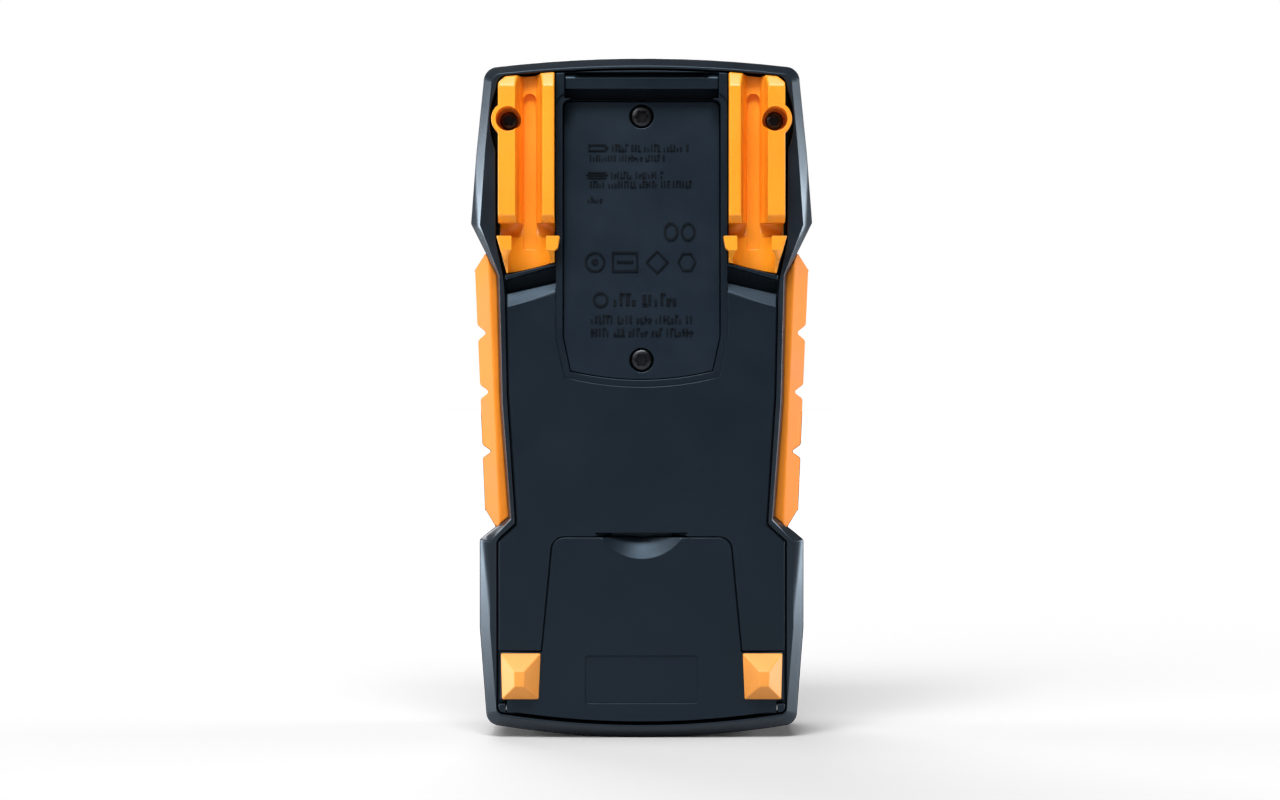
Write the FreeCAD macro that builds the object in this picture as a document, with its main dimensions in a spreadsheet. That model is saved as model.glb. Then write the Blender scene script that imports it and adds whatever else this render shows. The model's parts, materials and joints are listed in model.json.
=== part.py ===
import math
import operator
import os

import FreeCAD
import Part
import Sketcher
from FreeCAD import Vector

# Hand-held digital multimeter, standing on its bottom edge: +Z along its length, the display
# faces -Y and the rear panel faces +Y. The origin is the middle of the box's underside.
# All sizes are millimetres.

PARTS = "parts"
BACKWARD = FreeCAD.Placement(Vector(), FreeCAD.Rotation(Vector(0, 0, 1), Vector(0, 1, 0)))

DIMENSIONS = [
    # outer silhouette of the soft rim: half widths at stations up the length
    ("length", 167.0),
    ("base_half", 35.6),
    ("base_rise", 2.9),
    ("foot_half", 38.2),
    ("foot_up", 5.9),
    ("hip_half", 39.8),
    ("hip_low", 27.0),
    ("hip_high", 48.5),
    ("waist_half", 32.7),
    ("waist_low", 54.0),
    ("middle_half", 34.8),
    ("middle_up", 82.0),
    ("flare_half", 35.6),
    ("flare_up", 113.6),
    ("shoulder_half", 42.0),
    ("shoulder_up", 126.3),
    ("upper_half", 40.7),
    ("upper_up", 143.4),
    ("crown_half", 38.9),
    ("crown_up", 161.3),
    ("top_half", 36.0),
    ("top_up", 164.9),
    ("corner_radius", 3.2),
    ("rim_bevel", 2.6),
    ("waist_bevel", 0.7),
    # depth planes
    ("back_rest", 22.5),
    ("panel", 18.5),
    ("rim_back", 18.0),
    ("bevel_depth", 3.0),
    ("parting", 4.0),
    ("face", -20.5),
    ("rim_front", -22.5),
    # case halves
    ("panel_half", 35.0),
    ("panel_waist", 30.4),
    ("panel_top_half", 33.2),
    ("panel_top", 162.0),
    ("panel_bottom", 6.5),
    ("rim_groove", 0.6),
    ("case_step", 0.5),
    ("step_depth", 16.0),
    ("wall", 2.0),
    ("post_radius", 3.2),
    ("screw_radius", 1.5),
    ("screw_gap", 0.15),
    ("thread_gap", 0.05),
    # battery compartment
    ("cover_half", 19.2),
    ("cover_foot_half", 17.4),
    ("cover_bottom", 88.0),
    ("cover_foot", 90.1),
    ("cover_turn", 98.5),
    ("cover_top", 156.5),
    ("cover_low_y", 17.7),
    ("cover_high_y", 13.0),
    ("cover_thick", 2.0),
    ("cover_gap", 0.2),
    ("cover_screw_low", 92.7),
    ("cover_screw_high", 152.9),
    ("cell_radius", 5.25),
    ("cell_length", 44.5),
    ("cell_pitch", 10.75),
    ("tray_half", 17.3),
    ("tray_bottom", 95.4),
    ("tray_top", 150.4),
    ("tray_back", 9.6),
    ("tray_front", -0.4),
    # probe holders
    ("holder_inner", 21.3),
    ("holder_outer", 35.0),
    ("holder_floor", 12.0),
    ("holder_crest", 21.8),
    ("channel_x", 27.5),
    ("boss_x", 32.6),
    ("boss_z", 151.5),
    ("boss_radius", 4.1),
    ("cradle_radius", 5.2),
    ("cradle_y", 19.2),
    # tilting stand
    ("stand_top", 49.2),
    ("stand_top_half", 21.7),
    ("stand_shoulder", 21.2),
    ("stand_neck_half", 24.4),
    ("stand_half", 34.7),
    ("stand_thick", 2.6),
    ("stand_gap", 0.3),
    ("hinge_z", 7.4),
    ("hinge_y", 17.0),
    ("knuckle_radius", 1.5),
    ("pin_radius", 0.8),
    ("pin_gap", 0.05),
    ("ear_half", 33.0),
    # front controls
    ("window_half", 30.4),
    ("window_low", 117.0),
    ("window_high", 159.0),
    ("key_lift", 1.3),
    ("key_gap", 0.25),
    ("jack_pitch", 19.0),
    ("jack_z", 26.0),
    ("jack_well", 5.0),
    ("contact_radius", 2.8),
    ("plug_radius", 2.0),
    ("contact_length", 17.0),
    ("board_y", -14.6),
    ("board_thick", 1.6),
    ("board_half", 27.5),
    ("screw_x", 17.0),
    ("screw_z", 43.0),
]

OPERATIONS = {
    "+": operator.add,
    "-": operator.sub,
    "*": operator.mul,
    "/": operator.truediv,
}

doc = FreeCAD.newDocument("Multimeter")
sheet = doc.addObject("Spreadsheet::Sheet", "Dims")
pieces = []


class Size:
    """A length that knows its value and the formula that ties it to the sheet."""

    def __init__(self, value, formula=None):
        self.value = float(value)
        self.formula = formula or f"({self.value:.6g})"

    def join(self, sign, other):
        value = OPERATIONS[sign](self.value, other.value)
        return Size(value, f"({self.formula} {sign} {other.formula})")

    def __add__(self, other):
        return self.join("+", size(other))

    def __radd__(self, other):
        return size(other).join("+", self)

    def __sub__(self, other):
        return self.join("-", size(other))

    def __rsub__(self, other):
        return size(other).join("-", self)

    def __mul__(self, other):
        return self.join("*", size(other))

    def __rmul__(self, other):
        return size(other).join("*", self)

    def __truediv__(self, other):
        return self.join("/", size(other))

    def __neg__(self):
        return size(0).join("-", self)


def size(number):
    """The number as a Size."""
    return number if isinstance(number, Size) else Size(number)


class Dims:
    """The sheet's cells, read by name."""

    def __init__(self, rows):
        for row, (alias, value) in enumerate(rows, start=1):
            sheet.set(f"A{row}", alias)
            sheet.set(f"B{row}", str(value))
            sheet.setAlias(f"B{row}", alias)
            setattr(self, alias, Size(value, f"Dims.{alias}"))


d = Dims(DIMENSIONS)
doc.recompute()


# ---------------------------------------------------------------- building blocks


def bind(thing, prop, length):
    """Tie a property of thing to the sheet."""
    thing.setExpression(prop, size(length).formula)


def place(thing, x, y, z):
    """Tie the place of thing to the sheet."""
    for axis, length in zip("xyz", (x, y, z)):
        bind(thing, f"Placement.Base.{axis}", length)


def box(name, x, y, z):
    """A block between two values on each axis."""
    block = doc.addObject("Part::Box", name)
    for prop, span in (("Length", x), ("Width", y), ("Height", z)):
        bind(block, prop, size(span[1]) - span[0])
    place(block, x[0], y[0], z[0])
    return block


def rod(name, radius, start, axis, length):
    """A round bar from start along axis."""
    bar = doc.addObject("Part::Cylinder", name)
    bind(bar, "Radius", radius)
    bind(bar, "Height", length)
    bar.Placement = FreeCAD.Placement(Vector(), FreeCAD.Rotation(Vector(0, 0, 1), Vector(*axis)))
    place(bar, *start)
    return bar


def back_rod(name, radius, x, z, y0, y1):
    """A round bar along +Y from y0 to y1."""
    return rod(name, radius, (x, y0, z), (0, 1, 0), size(y1) - y0)


def cut(name, base, *tools):
    """Base less every tool."""
    solid = doc.addObject("Part::Cut", name)
    solid.Base = base
    solid.Tool = tools[0] if len(tools) == 1 else fuse(name + "_tools", *tools)
    return solid


def fuse(name, *shapes):
    """All shapes in one."""
    solid = doc.addObject("Part::MultiFuse", name)
    solid.Shapes = list(shapes)
    return solid


def common(name, first, second):
    """What the two shapes share."""
    solid = doc.addObject("Part::Common", name)
    solid.Base = first
    solid.Tool = second
    return solid


def group(name, *shapes):
    """Separate solids that belong to one node."""
    bundle = doc.addObject("Part::Compound", name)
    bundle.Links = list(shapes)
    return bundle


def mirrored(name, source):
    """The same shape on the other side of the middle plane."""
    twin = doc.addObject("Part::Mirroring", name)
    twin.Source = source
    twin.Normal = Vector(1, 0, 0)
    return twin


def piece(label, thing):
    """Mark a finished sub-part; its label names its file."""
    thing.Label = label
    pieces.append(thing)
    return thing


def arc_radius(half, rise):
    """Radius of a shallow arc from its half chord and its rise."""
    return (half * half + rise * rise) / (2 * rise)


def whole(half, bottom=None):
    """A closed outline from its right half, listed from the bottom up."""
    bends = [point[2] if len(point) > 2 else None for point in half]
    left = []
    for index in range(len(half) - 1, -1, -1):
        bend = bends[index - 1] if index else bottom
        left.append((-size(half[index][0]), half[index][1], bend))
    return list(half) + left


def rounded(x0, x1, z0, z1, radius):
    """A rectangle with round corners."""
    return [
        (x0 + radius, z0),
        (x1 - radius, z0, radius),
        (x1, z0 + radius),
        (x1, z1 - radius, radius),
        (x1 - radius, z1),
        (x0 + radius, z1, radius),
        (x0, z1 - radius),
        (x0, z0 + radius, radius),
    ]


def draw(sketch, points):
    """Draw a closed anticlockwise outline. A point's third value bends the edge that leaves it."""
    corners = [(size(point[0]), size(point[1])) for point in points]
    bends = [point[2] if len(point) > 2 else None for point in points]
    for index, bend in enumerate(bends):
        start = Vector(corners[index][0].value, corners[index][1].value, 0)
        far = corners[(index + 1) % len(corners)]
        end = Vector(far[0].value, far[1].value, 0)
        if bend is None:
            sketch.addGeometry(Part.LineSegment(start, end))
        else:
            sketch.addGeometry(bulge(start, end, size(bend).value))
    for index in range(len(corners)):
        after = (index + 1) % len(corners)
        sketch.addConstraint(Sketcher.Constraint("Coincident", index, 2, after, 1))
    for index, corner in enumerate(corners):
        for kind, length in zip(("DistanceX", "DistanceY"), corner):
            fix(sketch, Sketcher.Constraint(kind, -1, 1, index, 1, length.value), length)
        if bends[index] is not None:
            radius = size(bends[index])
            fix(sketch, Sketcher.Constraint("Radius", index, radius.value), radius)


def bulge(start, end, radius):
    """An arc from start to end that bows out to the right of the way it runs."""
    chord = end - start
    reach = math.sqrt(max(radius**2 - (chord.Length / 2) ** 2, 0.0))
    left = Vector(-chord.y, chord.x, 0).normalize()
    centre = (start + end) * 0.5 + left * reach
    circle = Part.Circle(centre, Vector(0, 0, 1), radius)
    first = math.atan2(start.y - centre.y, start.x - centre.x)
    last = math.atan2(end.y - centre.y, end.x - centre.x)
    return Part.ArcOfCircle(circle, first, last if last > first else last + 2 * math.pi)


def fix(sketch, constraint, length):
    """Add a dimension and tie it to the sheet."""
    index = sketch.addConstraint(constraint)
    sketch.setExpression(f"Constraints[{index}]", size(length).formula)


PLANES = {"XY": ("XY_Plane", 1), "XZ": ("XZ_Plane", -1), "YZ": ("YZ_Plane", 1)}


def prism(name, plane, points, start, end):
    """A body with one padded outline, from start to end along the plane's axis."""
    role, way = PLANES[plane]
    body = doc.addObject("PartDesign::Body", name)
    sketch = body.newObject("Sketcher::SketchObject", name + "_outline")
    origin = [feature for feature in body.Origin.OriginFeatures if feature.Role == role][0]
    sketch.AttachmentSupport = [(origin, "")]
    sketch.MapMode = "FlatFace"
    bind(sketch, "AttachmentOffset.Base.z", size(start) * way)
    draw(sketch, points)
    pad = body.newObject("PartDesign::Pad", name + "_pad")
    pad.Profile = sketch
    pad.Reversed = way < 0
    bind(pad, "Length", size(end) - start)
    body.Tip = pad
    return body


def outline(name, points, y=0):
    """A free outline in a plane across the depth."""
    sketch = doc.addObject("Sketcher::SketchObject", name)
    sketch.Placement = FreeCAD.Placement(Vector(), FreeCAD.Rotation(Vector(1, 0, 0), 90))
    place(sketch, 0, y, 0)
    draw(sketch, points)
    return sketch


def grown(name, sketch, growth, y0, y1):
    """An outline grown by growth, or shrunk if it is negative, and extruded from y0 to y1."""
    edge = doc.addObject("Part::Offset2D", name + "_edge")
    edge.Source = sketch
    edge.Join = "Intersection"
    bind(edge, "Value", growth)
    return extruded(name, edge, y0, y1)


def extruded(name, base, y0, y1):
    """An outline extruded along the depth from y0 to y1."""
    solid = doc.addObject("Part::Extrusion", name)
    solid.Base = base
    solid.DirMode = "Custom"
    solid.Dir = Vector(0, 1, 0)
    solid.Solid = True
    bind(solid, "LengthFwd", y1)
    bind(solid, "LengthRev", -size(y0))
    return solid


def ring(name, sketch, outer, inner, y0, y1):
    """A band between two growths of one outline."""
    rim = grown(name + "_out", sketch, outer, y0, y1)
    hole = grown(name + "_in", sketch, inner, size(y0) - 1, size(y1) + 1)
    return cut(name, rim, hole)


def loft(name, first, second):
    """A straight-sided solid between two outlines."""
    solid = doc.addObject("Part::Loft", name)
    solid.Sections = [first, second]
    solid.Solid = True
    solid.Ruled = True
    return solid


def screw(name, head, shank, x, z, seat, tip, head_tall):
    """A pan screw along +Y: its head's underside at seat, its tip at tip, a six-sided recess."""
    body = fuse(
        name + "_blank",
        back_rod(name + "_head", head, x, z, seat, size(seat) + head_tall),
        back_rod(name + "_shank", shank, x, z, tip, seat),
    )
    recess = doc.addObject("Part::Prism", name + "_recess")
    recess.Polygon = 6
    bind(recess, "Circumradius", size(head) * 0.5)
    bind(recess, "Height", 2)
    recess.Placement = BACKWARD
    place(recess, x, size(seat) + head_tall * 0.45, z)
    return cut(name, body, recess)


# ---------------------------------------------------------------- outlines


def case_half():
    """Right half of the outer silhouette."""
    return [
        (d.base_half, d.base_rise, d.corner_radius),
        (d.foot_half, d.foot_up),
        (d.hip_half, d.hip_low),
        (d.hip_half, d.hip_high),
        (d.waist_half, d.waist_low),
        (d.middle_half, d.middle_up),
        (d.flare_half, d.flare_up),
        (d.shoulder_half, d.shoulder_up),
        (d.upper_half, d.upper_up),
        (d.crown_half, d.crown_up, d.corner_radius + 0.3),
        (d.top_half, d.top_up, arc_radius(d.top_half, d.length - d.top_up)),
    ]


def rim_half():
    """Right half of the line where the rim's bevel meets its flat band."""
    bevel = d.rim_bevel
    slim = d.waist_bevel
    top_half = d.top_half - 1.4
    return [
        (d.base_half - 1.4, d.base_rise + bevel - 0.1, d.corner_radius - 1.2),
        (d.foot_half - bevel, d.foot_up + 0.9),
        (d.hip_half - bevel, d.hip_low),
        (d.hip_half - bevel - 0.1, d.hip_high - 0.4),
        (d.waist_half - slim, d.waist_low - 0.4),
        (d.middle_half - slim, d.middle_up),
        (d.flare_half - slim, d.flare_up - 0.2),
        (d.shoulder_half - bevel + 0.2, d.shoulder_up - 0.6),
        (d.upper_half - bevel + 0.3, d.upper_up),
        (d.crown_half - bevel + 0.5, d.crown_up - 0.6, d.corner_radius - 0.7),
        (top_half, d.top_up - 2.0, arc_radius(top_half, size(1.9))),
    ]


def panel_half():
    """Right half of the rear panel's edge."""
    bulge_chord = size(7.0)
    bulge_rise = size(1.4)
    foot = d.panel_half - 0.8
    return [
        (foot, d.panel_bottom, 1.2),
        (d.panel_half, d.panel_bottom + 0.9),
        (d.panel_half, d.hip_high - 0.4),
        (d.panel_waist, d.waist_low - 1.7),
        (d.panel_waist + 0.1, d.waist_low + 0.5),
        (d.middle_half - 2.4, d.middle_up + 2.0),
        (d.flare_half - 2.7, d.flare_up - 5.6),
        (d.flare_half - 2.3, d.flare_up - 0.6),
        (d.panel_half + 0.2, d.shoulder_up - 4.3),
        (d.panel_half + 0.3, d.boss_z - bulge_chord, arc_radius(bulge_chord, bulge_rise)),
        (d.panel_half + 0.3, d.boss_z + bulge_chord),
        (d.panel_half, d.panel_top - 1.8, 2.2),
        (d.panel_top_half, d.panel_top, arc_radius(d.panel_top_half, size(1.6))),
    ]


def cover_half_outline():
    """Right half of the battery cover's edge."""
    corner = size(1.6)
    return [
        (d.cover_foot_half, d.cover_foot),
        (d.cover_half, d.cover_turn),
        (d.cover_half, d.cover_top - corner, corner),
        (d.cover_half - corner, d.cover_top),
    ]


def stand_half_outline():
    """Right half of the stand's edge, with the corners left clear for the hinge ears."""
    corner = size(3.0)
    rise = size(2.6)
    return [
        (d.ear_half, d.panel_bottom + 0.3),
        (d.ear_half, d.hinge_z + 2.1),
        (d.stand_half, d.hinge_z + 2.1),
        (d.stand_half, d.stand_shoulder),
        (d.stand_neck_half, d.stand_shoulder),
        (d.stand_top_half + 0.3, d.stand_top - corner, corner),
        (d.stand_top_half + 0.3 - corner, d.stand_top),
    ], arc_radius(d.ear_half, rise)


CASE_BOTTOM = arc_radius(d.base_half, d.base_rise)
RIM_BOTTOM = arc_radius(d.base_half - 1.4, size(2.7))
PANEL_BOTTOM = arc_radius(d.panel_half - 0.8, size(2.7))
COVER_BOTTOM = arc_radius(d.cover_foot_half, d.cover_foot - d.cover_bottom)

case_edge = outline("case_edge", whole(case_half(), CASE_BOTTOM))
panel_edge = outline("panel_edge", whole(panel_half(), PANEL_BOTTOM))
cover_edge = outline("cover_edge", whole(cover_half_outline(), COVER_BOTTOM))


# ---------------------------------------------------------------- soft rim and grips


def rim_end(name, near, far):
    """One bevelled end of the rim, from the full silhouette to the bevel's inner line."""
    return loft(
        name,
        outline(name + "_near", whole(case_half(), CASE_BOTTOM), near),
        outline(name + "_far", whole(rim_half(), RIM_BOTTOM), far),
    )


def make_rim():
    """The soft sleeve around both case halves."""
    back = d.rim_back - d.bevel_depth
    front = d.rim_front + d.bevel_depth
    outside = fuse(
        "rim_outside",
        extruded("rim_middle", case_edge, front, back),
        rim_end("rim_back_end", back, d.rim_back),
        rim_end("rim_front_end", front, d.rim_front),
    )
    bore = grown("rim_bore", panel_edge, d.rim_groove, -30, 30)
    return piece("rim_bumper", cut("rim", outside, bore))


def grip_section(name, z, outer):
    """The grip's section across its length at height z."""
    sketch = doc.addObject("Sketcher::SketchObject", name)
    place(sketch, 0, 0, z)
    flat = outer - 3.7
    back = d.rim_back - 3.6
    front = d.rim_front + 4.6
    draw(
        sketch,
        [
            (30, front),
            (flat, front),
            (outer, front + 5.0),
            (outer, back - 4.4),
            (flat, back),
            (30, back),
        ],
    )
    return sketch


def make_grips():
    """Soft side grips in the waist, each cut by three notches."""
    low, high = size(50.0), size(120.0)
    wedge = loft(
        "grip_wedge",
        grip_section("grip_low", low, d.hip_half - 1.3),
        grip_section("grip_high", high, d.shoulder_half - 0.5),
    )
    side = prism(
        "grip_side",
        "XZ",
        [
            (30, 51.6),
            (35.9, 51.6),
            (38.5, 55.6),
            (45, 56.0),
            (45, 115.3),
            (41.2, 115.3),
            (38.0, 119.8),
            (30, 119.8),
        ],
        -30,
        30,
    )
    depth, tall = 2.4, 4.6
    notches = []
    for index, (z, edge) in enumerate(((70.2, 39.7), (84.9, 40.35), (99.5, 41.0))):
        apex = edge - depth
        corners = [(apex, z - 0.3), (44, z - tall), (44, z + tall), (apex, z + 0.3)]
        notches.append(prism(f"grip_notch_{index}", "XZ", corners, -30, 30))
    blank = common("grip_blank", wedge, side)
    sleeve = extruded("grip_seat", case_edge, -30, 30)
    right = cut("grip_right_solid", blank, sleeve, *notches)
    piece("grip_right", right)
    piece("grip_left", mirrored("grip_left_solid", right))


# ---------------------------------------------------------------- rear half


def slant(name, drop, x_half):
    """All that lies behind the battery cover's sloping face sunk by drop."""
    low = d.cover_low_y - drop
    high = d.cover_high_y - drop
    return prism(
        name,
        "YZ",
        [(low, d.cover_bottom), (60, d.cover_bottom), (60, d.cover_top), (high, d.cover_top)],
        -size(x_half),
        x_half,
    )


def slant_wide(name, drop):
    """As slant, with room above and below for the pocket's own gap."""
    slope = (d.cover_low_y - d.cover_high_y) / (d.cover_top - d.cover_bottom)
    extra = size(3.0)
    low = d.cover_low_y - drop + slope * extra
    high = d.cover_high_y - drop - slope * extra
    z0 = d.cover_bottom - extra
    z1 = d.cover_top + extra
    return prism(name, "YZ", [(low, z0), (60, z0), (60, z1), (high, z1)], -30, 30)


def holder_slot(name):
    """The pocket below a probe holder, with a shallow ramp on its lower side."""
    top = [(33.6, 112.2), (21.0, 115.8)]
    well = [(33.3, 108.9)] + top + [(21.0, 111.7)]
    step = d.panel - 1.9
    low = outline(name + "_low", well, step)
    wide = outline(name + "_wide", [(32.8, 105.5)] + top + [(21.0, 108.6)], d.panel + 0.1)
    deep = prism(name + "_well", "XZ", well, d.holder_floor, step + 0.1)
    return fuse(name, loft(name + "_ramp", low, wide), deep)


def stand_outline_grown(name, growth, y0, y1):
    """The stand's outline grown for its pocket."""
    half, bottom = stand_half_outline()
    return grown(name, outline(name + "_line", whole(half, bottom)), growth, y0, y1)


def both(name, make):
    """A shape and its twin on the other side."""
    right = make(name)
    return [right, mirrored(name + "_twin", right)]


def rear_liners():
    """The walls behind the panel's pockets."""
    y1 = d.panel - d.wall
    holders = both(
        "holder_liner",
        lambda name: box(name, (19.6, 38), (d.holder_floor - 2.2, y1), (103.5, 166)),
    )
    return holders + [
        box("hanger_liner", (-20.8, 20.8), (7.4, y1), (154.5, 166)),
        box("battery_liner", (-21.2, 21.2), (2, y1), (85.6, 159)),
        box("stand_liner", (-37, 37), (13.2, y1), (0, 51.8)),
        box("trough_liner", (-37, 37), (10.6, y1), (0, 13.8)),
    ]


def rear_posts():
    """The posts that the case screws pass."""
    posts = both(
        "rear_low_post",
        lambda name: back_rod(name, d.post_radius, d.screw_x, d.screw_z, d.parting, 13.5),
    )
    return posts + both(
        "rear_high_post",
        lambda name: back_rod(name, d.post_radius, d.boss_x, d.boss_z, d.parting, 11),
    )


def rear_pockets():
    """Everything that is sunk into the rear panel."""
    beyond = 40
    holders = both(
        "holder_pocket",
        lambda name: prism(
            name,
            "XZ",
            [(21.0, 116.4), (33.0, 113.5), (42, 113.5), (42, 170), (21.0, 170)],
            d.holder_floor,
            beyond,
        ),
    )
    slots = both("holder_slot", holder_slot)
    window = box("battery_window", (-17.5, 17.5), (-5, beyond), (95.2, 150.6))
    recess = common(
        "battery_recess",
        grown("battery_recess_prism", cover_edge, d.cover_gap, 0, 40),
        slant_wide("battery_recess_slope", d.cover_thick),
    )
    return holders + slots + [
        box("hanger_pocket", (-18.9, 18.9), (9.6, beyond), (156.8, 163.2)),
        box("hanger_step", (-17.5, 17.5), (13.1, beyond), (156.4, 157.0)),
        ring("cover_border", cover_edge, 1.9, 0.1, d.panel - 0.6, beyond),
        window,
        recess,
    ]


def stand_pockets():
    """The room for the stand, its hinge and a fingertip."""
    thick = d.stand_thick + 0.3
    sweep = d.ear_half + 0.3
    scoop = doc.addObject("Part::Cone", "finger_scoop")
    bind(scoop, "Radius1", 7.5)
    bind(scoop, "Radius2", 11.6)
    bind(scoop, "Height", 4.5)
    scoop.Placement = BACKWARD
    place(scoop, 0, 14.2, 51.0)
    limit = box("scoop_limit", (-20, 20), (10, 30), (40, 50.4))
    side = both(
        "stand_arm_pocket",
        lambda name: box(
            name,
            (30, 40),
            (d.panel - thick, 40),
            (d.hinge_z + 1.1, d.stand_shoulder + d.stand_gap),
        ),
    )
    return side + [
        stand_outline_grown("stand_pocket", d.stand_gap, d.panel - thick, 40),
        box("hinge_trough", (-sweep, sweep), (12.6, 40), (-2, 11.6)),
        common("finger_room", scoop, limit),
    ]


def rear_holes():
    """Screw holes, cover boss seats, hinge bores and the seal's groove."""
    shank = d.screw_radius + d.screw_gap
    low = both("low_hole", lambda n: back_rod(n, shank, d.screw_x, d.screw_z, 3, 20))
    seat = both("low_seat", lambda n: back_rod(n, 3.1, d.screw_x, d.screw_z, 13.0, 20))
    high = both("high_hole", lambda n: back_rod(n, shank, d.boss_x, d.boss_z, 3, 20))
    pins = both(
        "ear_bore",
        lambda n: rod(n, d.pin_radius, (30, d.hinge_y, d.hinge_z), (1, 0, 0), 4.3),
    )
    cover = [
        back_rod("thread_low", 1.35, 0, d.cover_screw_low, 1, 20),
        back_rod("thread_high", 1.35, 0, d.cover_screw_high, 1, 20),
        back_rod("boss_low_room", 4.1, 0, d.cover_screw_low, 13.9, 20),
        back_rod("boss_high_room", 4.1, 0, d.cover_screw_high, 9.7, 20),
    ]
    groove = ring("rear_seal_groove", panel_edge, -0.6, -1.3, d.parting - 1, d.parting + 0.5)
    return low + seat + high + pins + cover + [groove, cover_seal("cover_seal_groove", 0.05, 0.95)]


def cover_seal(name, ease, depth):
    """A band just under the battery cover's edge."""
    band = ring(name + "_band", cover_edge, ease - 0.3, -0.9 - ease, 0, 40)
    above = slant_wide(name + "_above", d.cover_thick + depth)
    below = slant_wide(name + "_below", d.cover_thick)
    return cut(name, common(name + "_slice", band, above), below)


def make_rear_cover():
    """Rear case half with every pocket of the panel."""
    skin = fuse(
        "rear_skin",
        extruded("rear_panel", panel_edge, d.parting, d.panel),
        grown("rear_step", panel_edge, d.case_step, d.parting, d.step_depth),
    )
    hollow = grown("rear_hollow", panel_edge, -d.wall, d.parting - 1, d.panel - d.wall)
    room = cut("rear_room", hollow, *rear_liners())
    shell = fuse("rear_shell", cut("rear_walls", skin, room), *rear_posts())
    tools = rear_pockets() + stand_pockets() + rear_holes()
    return piece("rear_cover", cut("rear", shell, *tools))


def make_hanger_bar():
    """The bar across the pocket at the top."""
    return piece(
        "hanger_bar",
        prism(
            "hanger",
            "YZ",
            [(14.3, 159.2), (17.3, 159.2), (17.3, 162.0), (16.3, 163.1), (14.3, 163.1)],
            -18.9,
            18.9,
        ),
    )


# ---------------------------------------------------------------- battery compartment


def make_battery_cover():
    """The sloping cover with two screw bosses and its seal."""
    prism_full = extruded("cover_prism", cover_edge, 0, 40)
    inner = slant("cover_inner", d.cover_thick, 22)
    outer = slant("cover_outer", 0, 25)
    plate = cut("cover_plate", common("cover_wedge", prism_full, inner), outer)
    bosses = fuse(
        "cover_bosses",
        back_rod("boss_low", 3.9, 0, d.cover_screw_low, 14.1, 17.0),
        back_rod("boss_high", 3.9, 0, d.cover_screw_high, 9.9, 12.8),
    )
    holes = [
        back_rod("cover_bore_low", 1.45, 0, d.cover_screw_low, 5, 30),
        back_rod("cover_bore_high", 1.45, 0, d.cover_screw_high, 5, 30),
        back_rod("cover_sink_low", 3.0, 0, d.cover_screw_low, 15.4, 30),
        back_rod("cover_sink_high", 3.0, 0, d.cover_screw_high, 11.2, 30),
    ]
    inside = grown("cover_boss_limit", cover_edge, -1.0, 0, 40)
    blank = fuse("cover_blank", plate, common("cover_boss_trim", bosses, inside))
    piece("battery_cover", cut("cover", blank, *holes))
    piece("battery_cover_seal", cover_seal("cover_seal", 0, 0.8))
    piece(
        "battery_cover_screws",
        group(
            "cover_screws",
            screw("cover_screw_a", 2.75, 1.25, 0, d.cover_screw_low, 15.4, 6.5, 1.6),
            screw("cover_screw_b", 2.75, 1.25, 0, d.cover_screw_high, 11.2, 2.6, 1.6),
        ),
    )


def make_battery_tray():
    """The open tray with a bay for the cells and one for the fuse."""
    tray = box(
        "tray_block",
        (-d.tray_half, d.tray_half),
        (d.tray_front, d.tray_back),
        (d.tray_bottom, d.tray_top),
    )
    bay = box("cell_bay", (-16.3, 16.3), (d.tray_front + 1, 20), (96.4, 141.7))
    fuse_bay = box("fuse_bay", (-16.5, 16.5), (d.tray_front + 1, 20), (142.5, 149.5))
    piece("battery_tray", cut("tray", tray, bay, fuse_bay))


def make_cells():
    """Three small round cells side by side, alternately turned."""
    centre_y = d.cell_radius + 0.85
    nub = 1.0
    for index in range(3):
        x = d.cell_pitch * (index - 1)
        body_z = 96.8 if index == 1 else 97.8
        nub_z = 140.3 if index == 1 else 96.8
        can = rod(
            f"cell_can_{index}", d.cell_radius, (x, centre_y, body_z), (0, 0, 1), d.cell_length - nub
        )
        tip = rod(f"cell_tip_{index}", 1.9, (x, centre_y, nub_z), (0, 0, 1), nub)
        piece(f"cell_{index + 1}", fuse(f"cell_body_{index}", can, tip))


def make_battery_contacts():
    """Leaf contacts at both ends of the cell bay."""
    plates = []
    for index in range(3):
        x = d.cell_pitch * (index - 1)
        for end, z in (("low", 96.4), ("high", 141.3)):
            plates.append(box(f"leaf_{end}_{index}", (x - 4, x + 4), (1.5, 10), (z, z + 0.4)))
    piece("battery_contacts", group("leaves", *plates))


def make_fuse():
    """A ceramic fuse across the tray, held by two spring clips."""
    y, z = 4.6, 146.0
    barrel = rod("fuse_barrel", 2.9, (-16, y, z), (1, 0, 0), 32)
    caps = [rod(f"fuse_cap_{x}", 3.15, (x, y, z), (1, 0, 0), 6) for x in (-16, 10)]
    piece("fuse", fuse("fuse_solid", barrel, *caps))
    clips = []
    for x in (-14.5, 10.5):
        block = box(f"clip_block_{x}", (x, x + 4), (d.tray_front + 1, 7.2), (142.6, 149.4))
        seat = rod(f"clip_seat_{x}", 3.2, (x - 1, y, z), (1, 0, 0), 6)
        mouth = box(f"clip_mouth_{x}", (x - 1, x + 5), (y, 10), (143.6, 148.4))
        clips.append(cut(f"clip_{x}", block, seat, mouth))
    piece("fuse_clips", group("clips", *clips))


# ---------------------------------------------------------------- probe holders


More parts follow.
